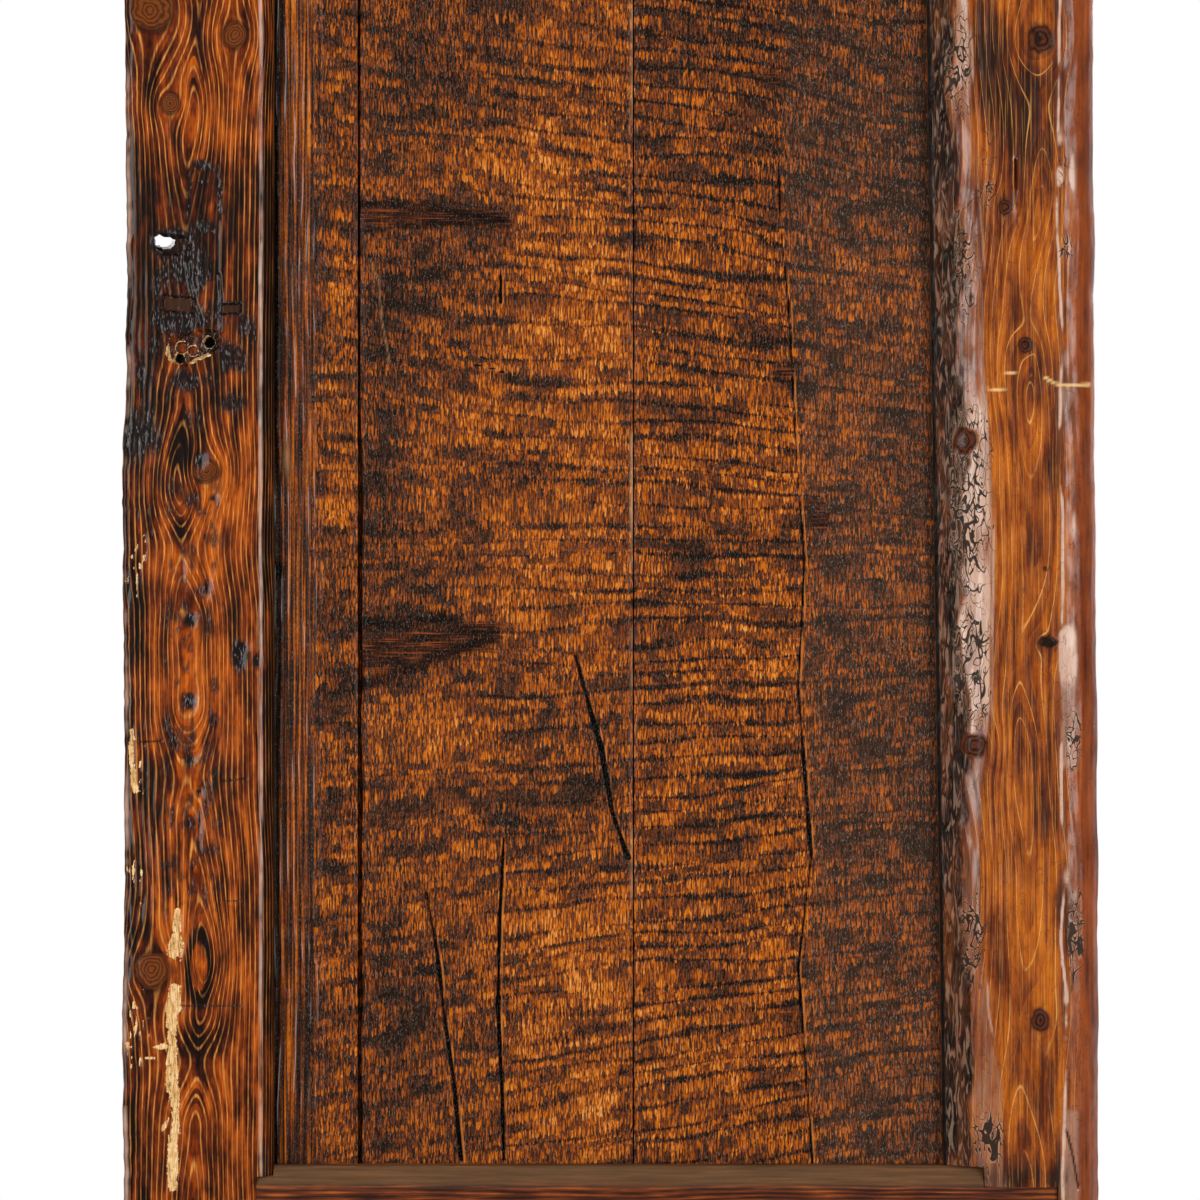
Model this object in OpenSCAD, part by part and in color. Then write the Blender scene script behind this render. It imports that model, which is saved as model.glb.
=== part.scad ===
/* [Leaf] */
// Width of the leaf across both stiles, at its foot
leaf_w = 979; // [900:1:1060]
// Height of the leaf to the crown of its arch
leaf_h = 2100; // [1950:1:2250]
// Rise of the arched head above its springing
arch_rise = 200; // [160:1:240]
// Thickness of the lock stile and the two rails
frame_t = 58; // [52:1:66]
// How far the hinge edge leans in from foot to head
edge_lean = 11; // [0:1:20]
// Small worn bevel on the outer front edges
outer_arris = 5; // [2:0.5:8]

/* [Lock stile] */
// Width of the lock stile
lock_stile_w = 150; // [130:1:170]
// Width of the worn bevel on the inner edges of lock stile and head
arris_w = 14; // [8:1:18]
// Depth of that bevel, back from the face
arris_d = 11; // [6:1:14]

/* [Lock scars] */
// Distance of the latch hole from the lock edge
latch_x = 48; // [36:1:60]
// Height of the latch hole above the foot
latch_z = 1115; // [1060:1:1170]
// Width of the latch hole's mouth
latch_mouth_w = 33; // [26:1:38]
// Height of the latch hole's mouth
latch_mouth_h = 22; // [16:1:25]
// Depth of the mouth, in front of the narrower through hole
latch_mouth_d = 22; // [12:1:30]
// Width of the through hole
latch_through_w = 26; // [22:1:30]
// Height of the through hole
latch_through_h = 20; // [14:1:21]
// Length of the chopped-out pocket of the old lock, between its two ends
pocket_l = 28; // [20:1:34]
// Radius of the pocket's wider end
pocket_r = 15; // [12:0.5:18]
// Depth of the pocket
pocket_d = 9; // [5:1:14]
// Depth of the auger holes below the face
auger_d = 34; // [20:1:44]
// Radius of the largest auger hole
auger_r = 6; // [4:0.5:7]

/* [Hinge stile] */
// Width of the waney slab at its foot
slab_foot_w = 153; // [140:1:170]
// Width of the waney slab at its head
slab_head_w = 172; // [160:1:185]
// Thickness of the slab at its crown
slab_crown_d = 63; // [60:1:72]
// Thickness of the slab where its wane meets the boards
slab_lip_d = 41; // [38:1:46]
// Thickness of the slab's outer edge, behind the rounded shoulder
slab_edge_d = 34; // [26:1:44]
// Width of the rounded outer shoulder
shoulder_w = 33; // [24:1:42]

/* [Rails] */
// Depth of the arched head rail, from outer to inner arc
head_rail_w = 150; // [130:1:170]
// Height of the bottom rail
rail_h = 190; // [170:1:210]
// Height of the chamfer along the bottom rail's top
chamfer_h = 18; // [10:1:24]
// Depth of that chamfer, back from the face
chamfer_d = 16; // [10:1:17]
// How far the bottom rail laps over the hinge stile's face
lap_reach = 109; // [90:1:112]
// How far its chamfered top laps over the wane
wane_reach = 36; // [26:1:46]
// Drop of the long lap below the rail's top
lap_drop = 19; // [12:1:26]
// How far the rail's shoulder is let into the lock stile's bevel
shoulder_setback = 16; // [15:1:20]

/* [Boards] */
// Thickness of the boards
board_t = 30; // [26:1:34]
// Visible width of the narrow board beside the lock stile
narrow_w = 85; // [70:1:100]
// Visible width of the middle board
middle_w = 276; // [240:1:300]
// Open joint between two boards
board_gap = 3; // [1:0.5:5]
// Width of the half lap between two boards
lap_w = 12; // [8:1:16]
// Width of the rebate that holds the boards' edges in the stiles
rebate_w = 15; // [14:1:20]
// Height of the rebate that holds the boards' ends in the rails
rebate_h = 40; // [32:1:48]

/* [Joints and fasteners] */
// Length of the rail tenons
tenon_l = 100; // [80:1:110]
// Thickness of the rail tenons
tenon_t = 20; // [16:1:22]
// Height of the head rail's tenons
head_tenon_h = 44; // [36:1:50]
// Height of the bottom rail's tenon
foot_tenon_h = 105; // [90:1:115]
// Radius of the drawbore pegs
peg_r = 8; // [6:0.5:10]
// Radius of the forged nails' shanks
nail_r = 2.5; // [2:0.25:3]
// Length of the board nails under the head
board_nail_l = 41; // [36:1:43]
// Length of the strap nails under the head
strap_nail_l = 32; // [24:1:34]
// Radius of the nail heads
nail_head_r = 8; // [6:0.5:10]
// Height of the nail heads
nail_head_h = 4; // [3:0.5:6]

/* [Hinges] */
// Height of the lower strap's centre above the foot
lower_strap_z = 110; // [100:1:120]
// Distance of the upper strap's centre below the crown of the arch
upper_strap_drop = 350; // [330:1:450]
// How far a strap runs on over the middle board
strap_reach = 156; // [100:1:220]
// Height of a strap at its eye
strap_h = 46; // [40:1:54]
// Thickness of a strap
strap_t = 6; // [4:0.5:8]
// Radius of the hinge pins
pin_r = 7; // [6:0.5:9]
// Distance of the pin's axis beyond the leaf's edge
pin_offset = 16; // [15:1:24]
// Radius of the pintles' tangs
tang_r = 8; // [7:0.5:10]
// Length of a tang's straight part
tang_l = 68; // [60:1:100]
// Length of a tang's point
tang_point_l = 24; // [16:1:32]

/* [Hidden] */
$fn = 48;
// Overrun of every cut beyond the face that it opens
overrun = 4;
// Clearance of timber in timber
fit = 0.3;
// Radial clearance of pegs and nails in their holes
hole_fit = 0.1;
// Radial clearance of a strap's eye on its pin
pin_fit = 0.05;
// How far a tenon or tongue runs back into its own rail
root = 6;

// Arched head
arch_r = (leaf_w * leaf_w / 4 + arch_rise * arch_rise) / (2 * arch_rise);
arch_x = leaf_w / 2;
arch_z = leaf_h - arch_r;
head_inner_r = arch_r - head_rail_w;
seat_r = head_inner_r + rebate_h;

// Hinge stile: height shares of the leaf, and the wane's width there as a share of the slab's
wane_shares = [
    [0, 0.34], [0.09, 0.4], [0.125, 0.4], [0.17, 0.3], [0.215, 0.24], [0.265, 0.29], [0.315, 0.35],
    [0.41, 0.37], [0.5, 0.335], [0.6, 0.275], [0.65, 0.26], [0.78, 0.29], [0.9, 0.24], [1, 0.24]
];
// Place of the wane's bulge, as shares of its width and of its rise
wane_bulge_shares = [0.42, 0.68];
// Place of the shoulder's bulge, as shares of its width and of its drop
shoulder_bulge_shares = [0.6, 0.34];

// Boards
joint_1 = lock_stile_w + narrow_w;
joint_2 = joint_1 + middle_w;
half_board = board_t / 2;
board_foot_z = rail_h - rebate_h;

// Lock scars, placed from the latch hole in the stile's own sizes
through_shift_x = -11;
through_shift_z = 6;
slot_d = 5;
slot_w = 31;
slot_h = 16;
slot_shift_x = 7;
slot_drop = 60;
small_slot_w = 21;
small_slot_h = 9;
small_slot_shift_x = 60;
small_slot_drop = 65;
pocket_shift_x = 12;
pocket_drop = 107;
pocket_tilt = 18;
pocket_small_end_share = 0.75;
// Auger holes: shares of the pocket's length along and across it, and of the largest radius
auger_shares = [[0, -0.12, 1], [0.33, 0.12, 0.83], [-0.2, 0.24, 0.8], [0.98, 0, 0.92]];
plate_d = 1.5;
plate_w = 31;
plate_h = 115;
plate_shift_x = 34;
plate_foot_drop = 38;

// Bottom rail joints
lap_seat = board_t;
lap_top = rail_h - lap_drop;
setback_drop = 9;
setback_d = 14;
tenon_shoulder = 8;
foot_tenon_z = 16;
tenon_y = -(frame_t + tenon_t) / 2;

// Hinges
eye_wall = strap_t;
eye_r = pin_r + pin_fit + eye_wall;
pin_x = leaf_w + pin_offset;
pin_y = eye_r;
upper_strap_z = leaf_h - upper_strap_drop;
strap_l = pin_x - joint_2 + strap_reach;
// Outline of a strap: shares of its length from the pin, and of half its height
strap_shares = [[0.03, 1], [0.84, 0.62], [0.88, 0.95], [0.93, 0.8], [1, 0]];
// Places of the strap nails as shares of the slab's width, of the heart board's and of the reach beyond it
slab_nail_shares = [0.3, 0.78];
heart_nail_shares = [0.3, 0.74];
tip_nail_share = 0.45;
seat_gap = 0.2;
collar_r = 12;
collar_h = 8;
neck_r = 9;
heel_r = 11;
heel_clear = 1;
heel_l = collar_r + heel_clear;
pin_tip = 5;

// The part's own frame: the centre of its box, at its foot
tang_start_x = pin_x + heel_l;
tang_end_x = tang_start_x + tang_l + tang_point_l;
mid_x = tang_end_x / 2;
mid_y = (pin_y + eye_r - slab_crown_d) / 2;

// Fasteners
peg_edge = 60;
peg_margin = 4;
peg_pitch = 36;
nail_edge = rebate_w / 2;
nail_end = rebate_h / 2;
stile_nail_shares = [0.16, 0.3, 0.44, 0.58, 0.72];
board_nail_shares = [0.5, 1.3, 1.7, 2.2, 2.55, 2.88];

lock_wood = [0.5, 0.25, 0.1];
slab_wood = [0.62, 0.31, 0.11];
rail_wood = [0.36, 0.17, 0.08];
board_wood = [0.45, 0.23, 0.1];
peg_wood = [0.3, 0.17, 0.09];
iron = [0.16, 0.15, 0.14];

// Outer edge of the hinge stile, its width and its inner edge at a height
function edge_x(z) = leaf_w - edge_lean * z / leaf_h;
function slab_w(z) = slab_foot_w + (slab_head_w - slab_foot_w) * z / leaf_h;
function seam_x(z) = edge_x(z) - slab_w(z);
// Height of an arc about the arch's centre
function arc_z(r, x) = arch_z + sqrt(r * r - (x - arch_x) * (x - arch_x));

function head_tenon_z(x) = arc_z(seat_r, x) + tenon_shoulder;
lock_tenon_z = head_tenon_z(lock_stile_w);
hinge_seam_x = seam_x(head_tenon_z(seam_x(leaf_h)));
hinge_tenon_z = head_tenon_z(hinge_seam_x);

// Pegs: place across the leaf, height and thickness of the timber there
upper_foot_peg_z = lower_strap_z - strap_h / 2 - peg_r - peg_margin;
foot_peg_heights = [upper_foot_peg_z - peg_pitch, upper_foot_peg_z];
peg_places = concat(
    [for (z = foot_peg_heights) [lock_stile_w - peg_edge, z, frame_t]],
    [for (z = foot_peg_heights) [seam_x(z) + peg_edge, z, frame_t]],
    [[lock_stile_w - peg_edge, lock_tenon_z + head_tenon_h / 2, frame_t]],
    [[hinge_seam_x + peg_edge, hinge_tenon_z + head_tenon_h / 2, slab_crown_d]]
);

// Board nails: along both rails at shares counted board by board, and along both stiles
board_edges = [lock_stile_w, joint_1, joint_2, seam_x(0)];
function across(s) =
    let (i = min(floor(s), len(board_edges) - 2))
    board_edges[i] + (board_edges[i + 1] - board_edges[i]) * (s - i);
rail_nail_places = [for (s = board_nail_shares) [across(s), rail_h - nail_end]];
head_nail_places = [for (s = board_nail_shares) [across(s), arc_z(seat_r - nail_end, across(s))]];
stile_nail_places = [
    for (s = stile_nail_shares) each [
        [lock_stile_w - nail_edge, s * leaf_h],
        [seam_x(s * leaf_h) + nail_edge, s * leaf_h]
    ]
];
board_nail_places = concat(rail_nail_places, head_nail_places, stile_nail_places);

// Strap nails, on both straps: in the slab, the heart board and the middle board
function strap_nail_xs(z) = concat(
    [for (s = slab_nail_shares) seam_x(z) + s * slab_w(z)],
    [for (s = heart_nail_shares) joint_2 + s * (seam_x(z) - joint_2)],
    [joint_2 - tip_nail_share * strap_reach]
);
strap_nail_places = [
    for (z = [lower_strap_z, upper_strap_z]) each [for (x = strap_nail_xs(z)) [x, z]]
];

// Moves a piece from the leaf's corner to the part's own frame
module in_place() {
    translate([-mid_x, -mid_y, 0]) children();
}

// Turns a drawing so that its X and Y lie along the face, and its Z points into the timber
module from_face(x, y, z) {
    translate([x, y, z]) rotate([-90, 0, 0]) children();
}

// Solid between two depths behind the face, from an outline across and up the leaf
module upright(outline, front, back) {
    translate([0, back, 0]) rotate([90, 0, 0]) linear_extrude(back - front) polygon(outline);
}

// Bar along the leaf's width, from a section of depth and height
module bar(section, x0, x1) {
    translate([x0, 0, 0]) rotate([90, 0, 90]) linear_extrude(x1 - x0) polygon(section);
}

// Box between two corners
module block(low, high) {
    translate(low) cube(high - low);
}

// Everything inside an arc about the arch's centre, and all that lies under it
module under_arc(r) {
    depth = slab_crown_d + overrun;
    translate([arch_x, overrun, arch_z]) rotate([90, 0, 0]) cylinder(h = depth + overrun, r = r, $fn = 180);
    block([arch_x - r, -depth, -overrun], [arch_x + r, overrun, arch_z]);
}

// Smooth solid through rings of points that run anticlockwise seen from above
module loft(rings) {
    n = len(rings[0]);
    last = (len(rings) - 1) * n;
    sides = [
        for (i = [0 : len(rings) - 2], j = [0 : n - 1])
            let (a = i * n + j, b = i * n + (j + 1) % n)
            each [[a, a + n, b + n], [a, b + n, b]]
    ];
    caps = [[for (j = [0 : n - 1]) j], [for (j = [n - 1 : -1 : 0]) last + j]];
    polyhedron([for (ring = rings) each ring], concat(sides, caps));
}

// Cut with half-round ends, its centre at the drawing's origin
module oblong_cut(w, h, depth) {
    bite = depth + overrun;
    for (side = [-1, 1])
        translate([side * (w - h) / 2, 0, -overrun]) cylinder(h = bite, d = h);
    translate([-(w - h) / 2, -h / 2, -overrun]) cube([w - h, h, bite]);
}

// Holes of all pegs and nails that stand between two places across the leaf
module fastener_holes(x0, x1) {
    for (p = peg_places)
        if (p[0] > x0 && p[0] < x1)
            from_face(p[0], -slab_crown_d - overrun, p[1])
                cylinder(h = slab_crown_d + 2 * overrun, r = peg_r + hole_fit);
    for (p = board_nail_places)
        if (p[0] > x0 && p[0] < x1) nail_hole(p, board_nail_l);
    for (p = strap_nail_places)
        if (p[0] > x0 && p[0] < x1) nail_hole(p, strap_nail_l - strap_t);
}

module nail_hole(place, depth) {
    from_face(place[0], -depth - hole_fit, place[1])
        cylinder(h = depth + hole_fit + overrun, r = nail_r + hole_fit);
}

// Forged nail driven from the back, its head on the plane at the given depth
module nail(place, head_y, length) {
    from_face(place[0], head_y - length, place[1]) {
        cylinder(h = length + nail_head_h / 2, r = nail_r);
        translate([0, 0, length]) cylinder(h = nail_head_h, r1 = nail_head_r, r2 = nail_head_r / 2);
    }
}

// Mortise for a tenon that runs from an inner edge into a stile
module mortise(x0, x1, z, height) {
    block([x0 - fit, tenon_y - fit, z - fit], [x1 + fit, tenon_y + tenon_t + fit, z + height + fit]);
}

// What the lost latch and lock left in the stile's face
module lock_scars() {
    from_face(latch_x, -frame_t, latch_z) {
        oblong_cut(latch_mouth_w, latch_mouth_h, latch_mouth_d);
        translate([through_shift_x, -through_shift_z, 0])
            oblong_cut(latch_through_w, latch_through_h, frame_t + overrun);
        translate([slot_shift_x - slot_w / 2, slot_drop - slot_h / 2, -overrun])
            cube([slot_w, slot_h, slot_d + overrun]);
        translate([small_slot_shift_x - small_slot_w / 2, small_slot_drop - small_slot_h / 2, -overrun])
            cube([small_slot_w, small_slot_h, slot_d + overrun]);
        translate([pocket_shift_x, pocket_drop, 0]) rotate(-pocket_tilt) lock_pocket();
        translate([plate_shift_x - plate_w / 2, plate_foot_drop - plate_h + plate_w / 2, -overrun])
            cube([plate_w, plate_h - plate_w / 2, plate_d + overrun]);
        translate([plate_shift_x, plate_foot_drop - plate_h + plate_w / 2, -overrun])
            cylinder(h = plate_d + overrun, d = plate_w);
    }
}

// Chopped pocket with a wide and a narrow end, and the auger holes in its floor
module lock_pocket() {
    narrow_r = pocket_r * pocket_small_end_share;
    translate([0, 0, -overrun]) cylinder(h = pocket_d + overrun, r = pocket_r);
    translate([pocket_l, 0, -overrun]) cylinder(h = pocket_d + overrun, r = narrow_r);
    translate([0, -narrow_r, -overrun]) cube([pocket_l, 2 * narrow_r, pocket_d + overrun]);
    for (s = auger_shares)
        translate([s[0] * pocket_l, s[1] * pocket_l, 0]) cylinder(h = auger_d, r = s[2] * auger_r);
}

module lock_stile() {
    section = [
        [0, 0], [0, outer_arris - frame_t], [outer_arris, -frame_t], [lock_stile_w - arris_w, -frame_t],
        [lock_stile_w, arris_d - frame_t], [lock_stile_w, 0]
    ];
    inner_x = lock_stile_w - rebate_w;
    color(lock_wood) in_place() difference() {
        intersection() {
            linear_extrude(leaf_h) polygon(section);
            under_arc(arch_r);
        }
        block(
            [inner_x, -board_t - fit, board_foot_z],
            [lock_stile_w + overrun, overrun, arc_z(seat_r, lock_stile_w)]
        );
        block(
            [lock_stile_w - shoulder_setback, -frame_t - overrun, -overrun],
            [lock_stile_w + overrun, setback_d - frame_t, rail_h - setback_drop]
        );
        mortise(lock_stile_w - tenon_l, lock_stile_w + overrun, lock_tenon_z, head_tenon_h);
        mortise(lock_stile_w - tenon_l, lock_stile_w + overrun, foot_tenon_z, foot_tenon_h);
        fastener_holes(0, lock_stile_w);
        lock_scars();
    }
}

// Section of the waney slab at a height
function slab_ring(z, wane) =
    let (
        left = seam_x(z),
        right = edge_x(z),
        rise = slab_crown_d - slab_lip_d,
        drop = slab_crown_d - slab_edge_d
    ) [
        [left, 0, z],
        [left, -slab_lip_d, z],
        [left + wane * wane_bulge_shares[0], -slab_lip_d - rise * wane_bulge_shares[1], z],
        [left + wane, -slab_crown_d, z],
        [right - shoulder_w, -slab_crown_d, z],
        [right - shoulder_w * (1 - shoulder_bulge_shares[0]), drop * shoulder_bulge_shares[1] - slab_crown_d, z],
        [right, -slab_edge_d, z],
        [right, 0, z]
    ];

module hinge_stile() {
    rings = [for (s = wane_shares) let (z = s[0] * leaf_h) slab_ring(z, s[1] * slab_w(z))];
    rebate_top = arc_z(seat_r, hinge_seam_x);
    rebate_outline = [
        [seam_x(board_foot_z) - overrun, board_foot_z],
        [seam_x(board_foot_z) + rebate_w, board_foot_z],
        [seam_x(rebate_top) + rebate_w, rebate_top],
        [seam_x(rebate_top) - overrun, rebate_top]
    ];
    color(slab_wood) in_place() difference() {
        intersection() {
            loft(rings);
            under_arc(arch_r);
        }
        upright(rebate_outline, -board_t - fit, overrun);
        block(
            [seam_x(0) - overrun, -slab_crown_d - overrun, -overrun],
            [seam_x(0) + lap_reach + fit, -lap_seat, lap_top + fit]
        );
        block(
            [seam_x(0) - overrun, -slab_crown_d - overrun, -overrun],
            [seam_x(0) + wane_reach + fit, -lap_seat, rail_h + fit]
        );
        mortise(hinge_seam_x - overrun, hinge_seam_x + tenon_l, hinge_tenon_z, head_tenon_h);
        fastener_holes(seam_x(0) - rebate_w, leaf_w);
    }
}

module head_rail() {
    section = [
        [seat_r, 0], [arch_r, 0], [arch_r, frame_t - outer_arris], [arch_r - outer_arris, frame_t],
        [head_inner_r + arris_w, frame_t], [head_inner_r, frame_t - arris_d],
        [head_inner_r, board_t + fit], [seat_r, board_t + fit]
    ];
    between = [
        [lock_stile_w + fit, arch_z], [seam_x(arch_z) - fit, arch_z],
        [seam_x(leaf_h) - fit, leaf_h + overrun], [lock_stile_w + fit, leaf_h + overrun]
    ];
    color(rail_wood) in_place() difference() {
        union() {
            intersection() {
                translate([arch_x, 0, arch_z]) rotate([90, 0, 0])
                    rotate_extrude(angle = 180, $fn = 180) polygon(section);
                upright(between, -frame_t - overrun, overrun);
            }
            block(
                [lock_stile_w - tenon_l, tenon_y, lock_tenon_z],
                [lock_stile_w + root, tenon_y + tenon_t, lock_tenon_z + head_tenon_h]
            );
            block(
                [hinge_seam_x - root, tenon_y, hinge_tenon_z],
                [hinge_seam_x + tenon_l, tenon_y + tenon_t, hinge_tenon_z + head_tenon_h]
            );
        }
        fastener_holes(0, leaf_w);
    }
}

module bottom_rail() {
    chamfer = [[-frame_t, rail_h - chamfer_h], [chamfer_d - frame_t, rail_h]];
    full = concat(
        [[0, 0], [-frame_t, 0]],
        chamfer,
        [[-board_t - fit, rail_h], [-board_t - fit, board_foot_z], [0, board_foot_z]]
    );
    lap_back = -lap_seat - fit;
    tongue = [[lap_back, 0], [-frame_t, 0], [-frame_t, lap_top], [lap_back, lap_top]];
    wane_tongue = concat([[lap_back, 0], [-frame_t, 0]], chamfer, [[lap_back, rail_h]]);
    left = lock_stile_w + fit;
    beyond_seam = [
        [seam_x(0) - fit, -overrun], [leaf_w, -overrun],
        [leaf_w, rail_h + overrun], [seam_x(rail_h) - fit, rail_h + overrun]
    ];
    color(rail_wood) in_place() difference() {
        union() {
            difference() {
                bar(full, left, seam_x(0));
                upright(beyond_seam, lap_back, overrun);
            }
            bar(tongue, left, seam_x(0) + lap_reach);
            bar(wane_tongue, left, seam_x(0) + wane_reach);
            block(
                [lock_stile_w - shoulder_setback + fit, -frame_t, 0],
                [left + root, setback_d - fit - frame_t, rail_h - setback_drop - fit]
            );
            block(
                [lock_stile_w - tenon_l, tenon_y, foot_tenon_z],
                [left + root, tenon_y + tenon_t, foot_tenon_z + foot_tenon_h]
            );
        }
        bar(
            concat(chamfer, [[-frame_t - overrun, rail_h + overrun], [-frame_t - overrun, rail_h - chamfer_h]]),
            0, left + root
        );
        fastener_holes(0, leaf_w);
    }
}

// Board between two places across the leaf, half-lapped under its right neighbour or over its left one
module board(x0, x1, lap_left, lap_right) {
    right_edge = lap_right
        ? [[x1, -half_board], [x1 + lap_w, -half_board], [x1 + lap_w, 0]]
        : [[x1, 0]];
    left_edge = lap_left
        ? [[x0 + lap_w, 0], [x0 + lap_w, -half_board - fit], [x0, -half_board - fit]]
        : [[x0, 0]];
    section = concat([[x0, -board_t], [x1, -board_t]], right_edge, left_edge);
    difference() {
        intersection() {
            translate([0, 0, board_foot_z + fit]) linear_extrude(leaf_h) polygon(section);
            under_arc(seat_r - fit);
        }
        fastener_holes(x0, x1 + lap_w);
    }
}

module narrow_board() {
    color(board_wood) in_place()
        board(lock_stile_w - rebate_w + fit, joint_1 - board_gap / 2, false, true);
}

module middle_board() {
    color(board_wood) in_place()
        board(joint_1 + board_gap / 2, joint_2 - board_gap / 2, true, true);
}

module heart_board() {
    past_seat = [
        [seam_x(0) + rebate_w - fit, 0], [leaf_w, 0],
        [leaf_w, leaf_h], [seam_x(leaf_h) + rebate_w - fit, leaf_h]
    ];
    color(board_wood) in_place() difference() {
        board(joint_2 + board_gap / 2, seam_x(0) + rebate_w, true, false);
        upright(past_seat, -frame_t, overrun);
    }
}

module corner_pegs() {
    color(peg_wood) in_place()
        for (p = peg_places) from_face(p[0], -p[2], p[1]) cylinder(h = p[2], r = peg_r);
}

module board_nails() {
    color(iron) in_place()
        for (p = board_nail_places) nail(p, 0, board_nail_l);
}

module strap_nails() {
    color(iron) in_place()
        for (p = strap_nail_places) nail(p, strap_t, strap_nail_l);
}

// Flat strap on the leaf's back that ends in an eye around the pin
module strap(z) {
    half = strap_h / 2;
    upper = [for (s = strap_shares) [pin_x - s[0] * strap_l, z + s[1] * half]];
    lower = [for (i = [len(strap_shares) - 2 : -1 : 0])
        [pin_x - strap_shares[i][0] * strap_l, z - strap_shares[i][1] * half]];
    color(iron) in_place() difference() {
        union() {
            upright(concat([[pin_x, z + half]], upper, lower, [[pin_x, z - half]]), 0, strap_t);
            translate([pin_x, pin_y, z - half]) cylinder(h = strap_h, r = eye_r);
        }
        translate([pin_x, pin_y, z - half - overrun]) cylinder(h = strap_h + 2 * overrun, r = pin_r + pin_fit);
        for (p = strap_nail_places)
            from_face(p[0], -overrun, p[1]) cylinder(h = strap_t + 2 * overrun, r = nail_r + hole_fit);
    }
}

module upper_strap() strap(upper_strap_z);
module lower_strap() strap(lower_strap_z);

// Drive-in pintle: a pin on a collar, and a pointed tang that runs into the post
module pintle(z) {
    collar_top = z - strap_h / 2 - seat_gap;
    tang_z = collar_top - collar_h - tang_r;
    color(iron) in_place() translate([pin_x, pin_y, 0]) {
        translate([0, 0, collar_top - collar_h / 2])
            cylinder(h = strap_h + seat_gap + collar_h / 2, r = pin_r);
        translate([0, 0, z + strap_h / 2]) cylinder(h = pin_tip, r1 = pin_r, r2 = pin_r / 2);
        translate([0, 0, collar_top - collar_h]) cylinder(h = collar_h, r = collar_r);
        translate([0, 0, tang_z]) cylinder(h = tang_r + collar_h / 2, r = neck_r);
        translate([0, 0, tang_z]) sphere(r = neck_r);
        translate([0, 0, tang_z]) rotate([0, 90, 0]) {
            cylinder(h = heel_l, r = heel_r);
            cylinder(h = heel_l + tang_l, r = tang_r);
            translate([0, 0, heel_l + tang_l]) cylinder(h = tang_point_l, r1 = tang_r, r2 = tang_r / 4);
        }
    }
}

module upper_pintle() pintle(upper_strap_z);
module lower_pintle() pintle(lower_strap_z);

lock_stile();
hinge_stile();
head_rail();
bottom_rail();
narrow_board();
middle_board();
heart_board();
corner_pegs();
board_nails();
strap_nails();
upper_strap();
lower_strap();
upper_pintle();
lower_pintle();
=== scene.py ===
# %% [markdown]
# # An old arched door leaf
# The leaf is framed by a brushed lock stile, a waney hinge stile and two rails, with three
# rough-sawn boards between them. It hangs by iron straps on drive-in pintles. The frame gives every
# piece its place and size, and this lesson gives each timber its grain, relief, wear and varnish.

# %% Load the frame
import functools
import math

import bmesh
import bpy
import numpy as np
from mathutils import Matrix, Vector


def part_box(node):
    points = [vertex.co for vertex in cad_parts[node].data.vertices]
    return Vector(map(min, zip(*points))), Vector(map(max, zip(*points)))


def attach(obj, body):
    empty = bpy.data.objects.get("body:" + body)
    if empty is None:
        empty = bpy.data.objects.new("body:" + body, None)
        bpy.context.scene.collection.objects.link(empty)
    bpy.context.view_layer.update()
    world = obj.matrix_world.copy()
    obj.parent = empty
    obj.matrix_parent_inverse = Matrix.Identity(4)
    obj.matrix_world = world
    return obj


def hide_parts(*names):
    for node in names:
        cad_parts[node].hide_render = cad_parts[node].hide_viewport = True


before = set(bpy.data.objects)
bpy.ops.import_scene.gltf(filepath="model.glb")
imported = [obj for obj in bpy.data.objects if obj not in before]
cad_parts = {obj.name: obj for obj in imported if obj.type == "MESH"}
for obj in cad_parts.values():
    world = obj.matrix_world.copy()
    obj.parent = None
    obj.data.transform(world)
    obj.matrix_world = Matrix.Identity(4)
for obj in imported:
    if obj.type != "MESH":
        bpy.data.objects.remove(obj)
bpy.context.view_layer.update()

# %% [markdown]
# ## Measures of the leaf
# A joiner measures a leaf from its lock edge, from its back and from its foot. So do the cells below:
# x runs from the lock edge towards the hinges, d is the depth in front of the back, z is the height,
# all in millimetres. One function turns them into the frame's metres.

# %% Leaf measures from the frame
MM = 0.001
lock_low, lock_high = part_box("lock_stile")
slab_low, slab_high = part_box("hinge_stile")
LEFT = lock_low.x
BACK = lock_high.y
LEAF_W = (slab_high.x - LEFT) / MM
LEAF_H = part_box("head_rail")[1].z / MM
LOCK_W = (lock_high.x - LEFT) / MM
FRAME_T = (BACK - lock_low.y) / MM
CROWN_D = (BACK - slab_low.y) / MM
RAIL_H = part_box("bottom_rail")[1].z / MM
BOARD_T = (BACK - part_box("middle_board")[0].y) / MM
BOARD_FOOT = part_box("middle_board")[0].z / MM
# Gap between neighbouring pieces
FIT = 0.3
# The hinge stile leans to the left: where its inner edge starts, and how far each edge moves
SEAM_FOOT, SEAM_LEAN, EDGE_LEAN = 826, 30, 11


def in_frame(x, d, z):
    """Places on the leaf, in millimetres, as places in the frame."""
    return np.stack([LEFT + x * MM, BACK - d * MM, z * MM], axis=-1)


def seam(z):
    """Inner edge of the hinge stile at a height."""
    return SEAM_FOOT - SEAM_LEAN * z / LEAF_H


def hinge_edge(z):
    """Outer edge of the hinge stile at a height."""
    return LEAF_W - EDGE_LEAN * z / LEAF_H


print("leaf", round(LEAF_W), "x", round(LEAF_H), "mm")
print("lock stile", round(LOCK_W), "mm wide, boards", round(BOARD_T), "mm thick")

# %% [markdown]
# ## The arch
# The top is one arc of a circle from edge to edge, and the head rail and the tops of the boards follow
# arcs about the same centre. A timber's rows are level up to a certain height. Above it they spread out
# more and more, so that the last row lies on the arc.

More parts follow.
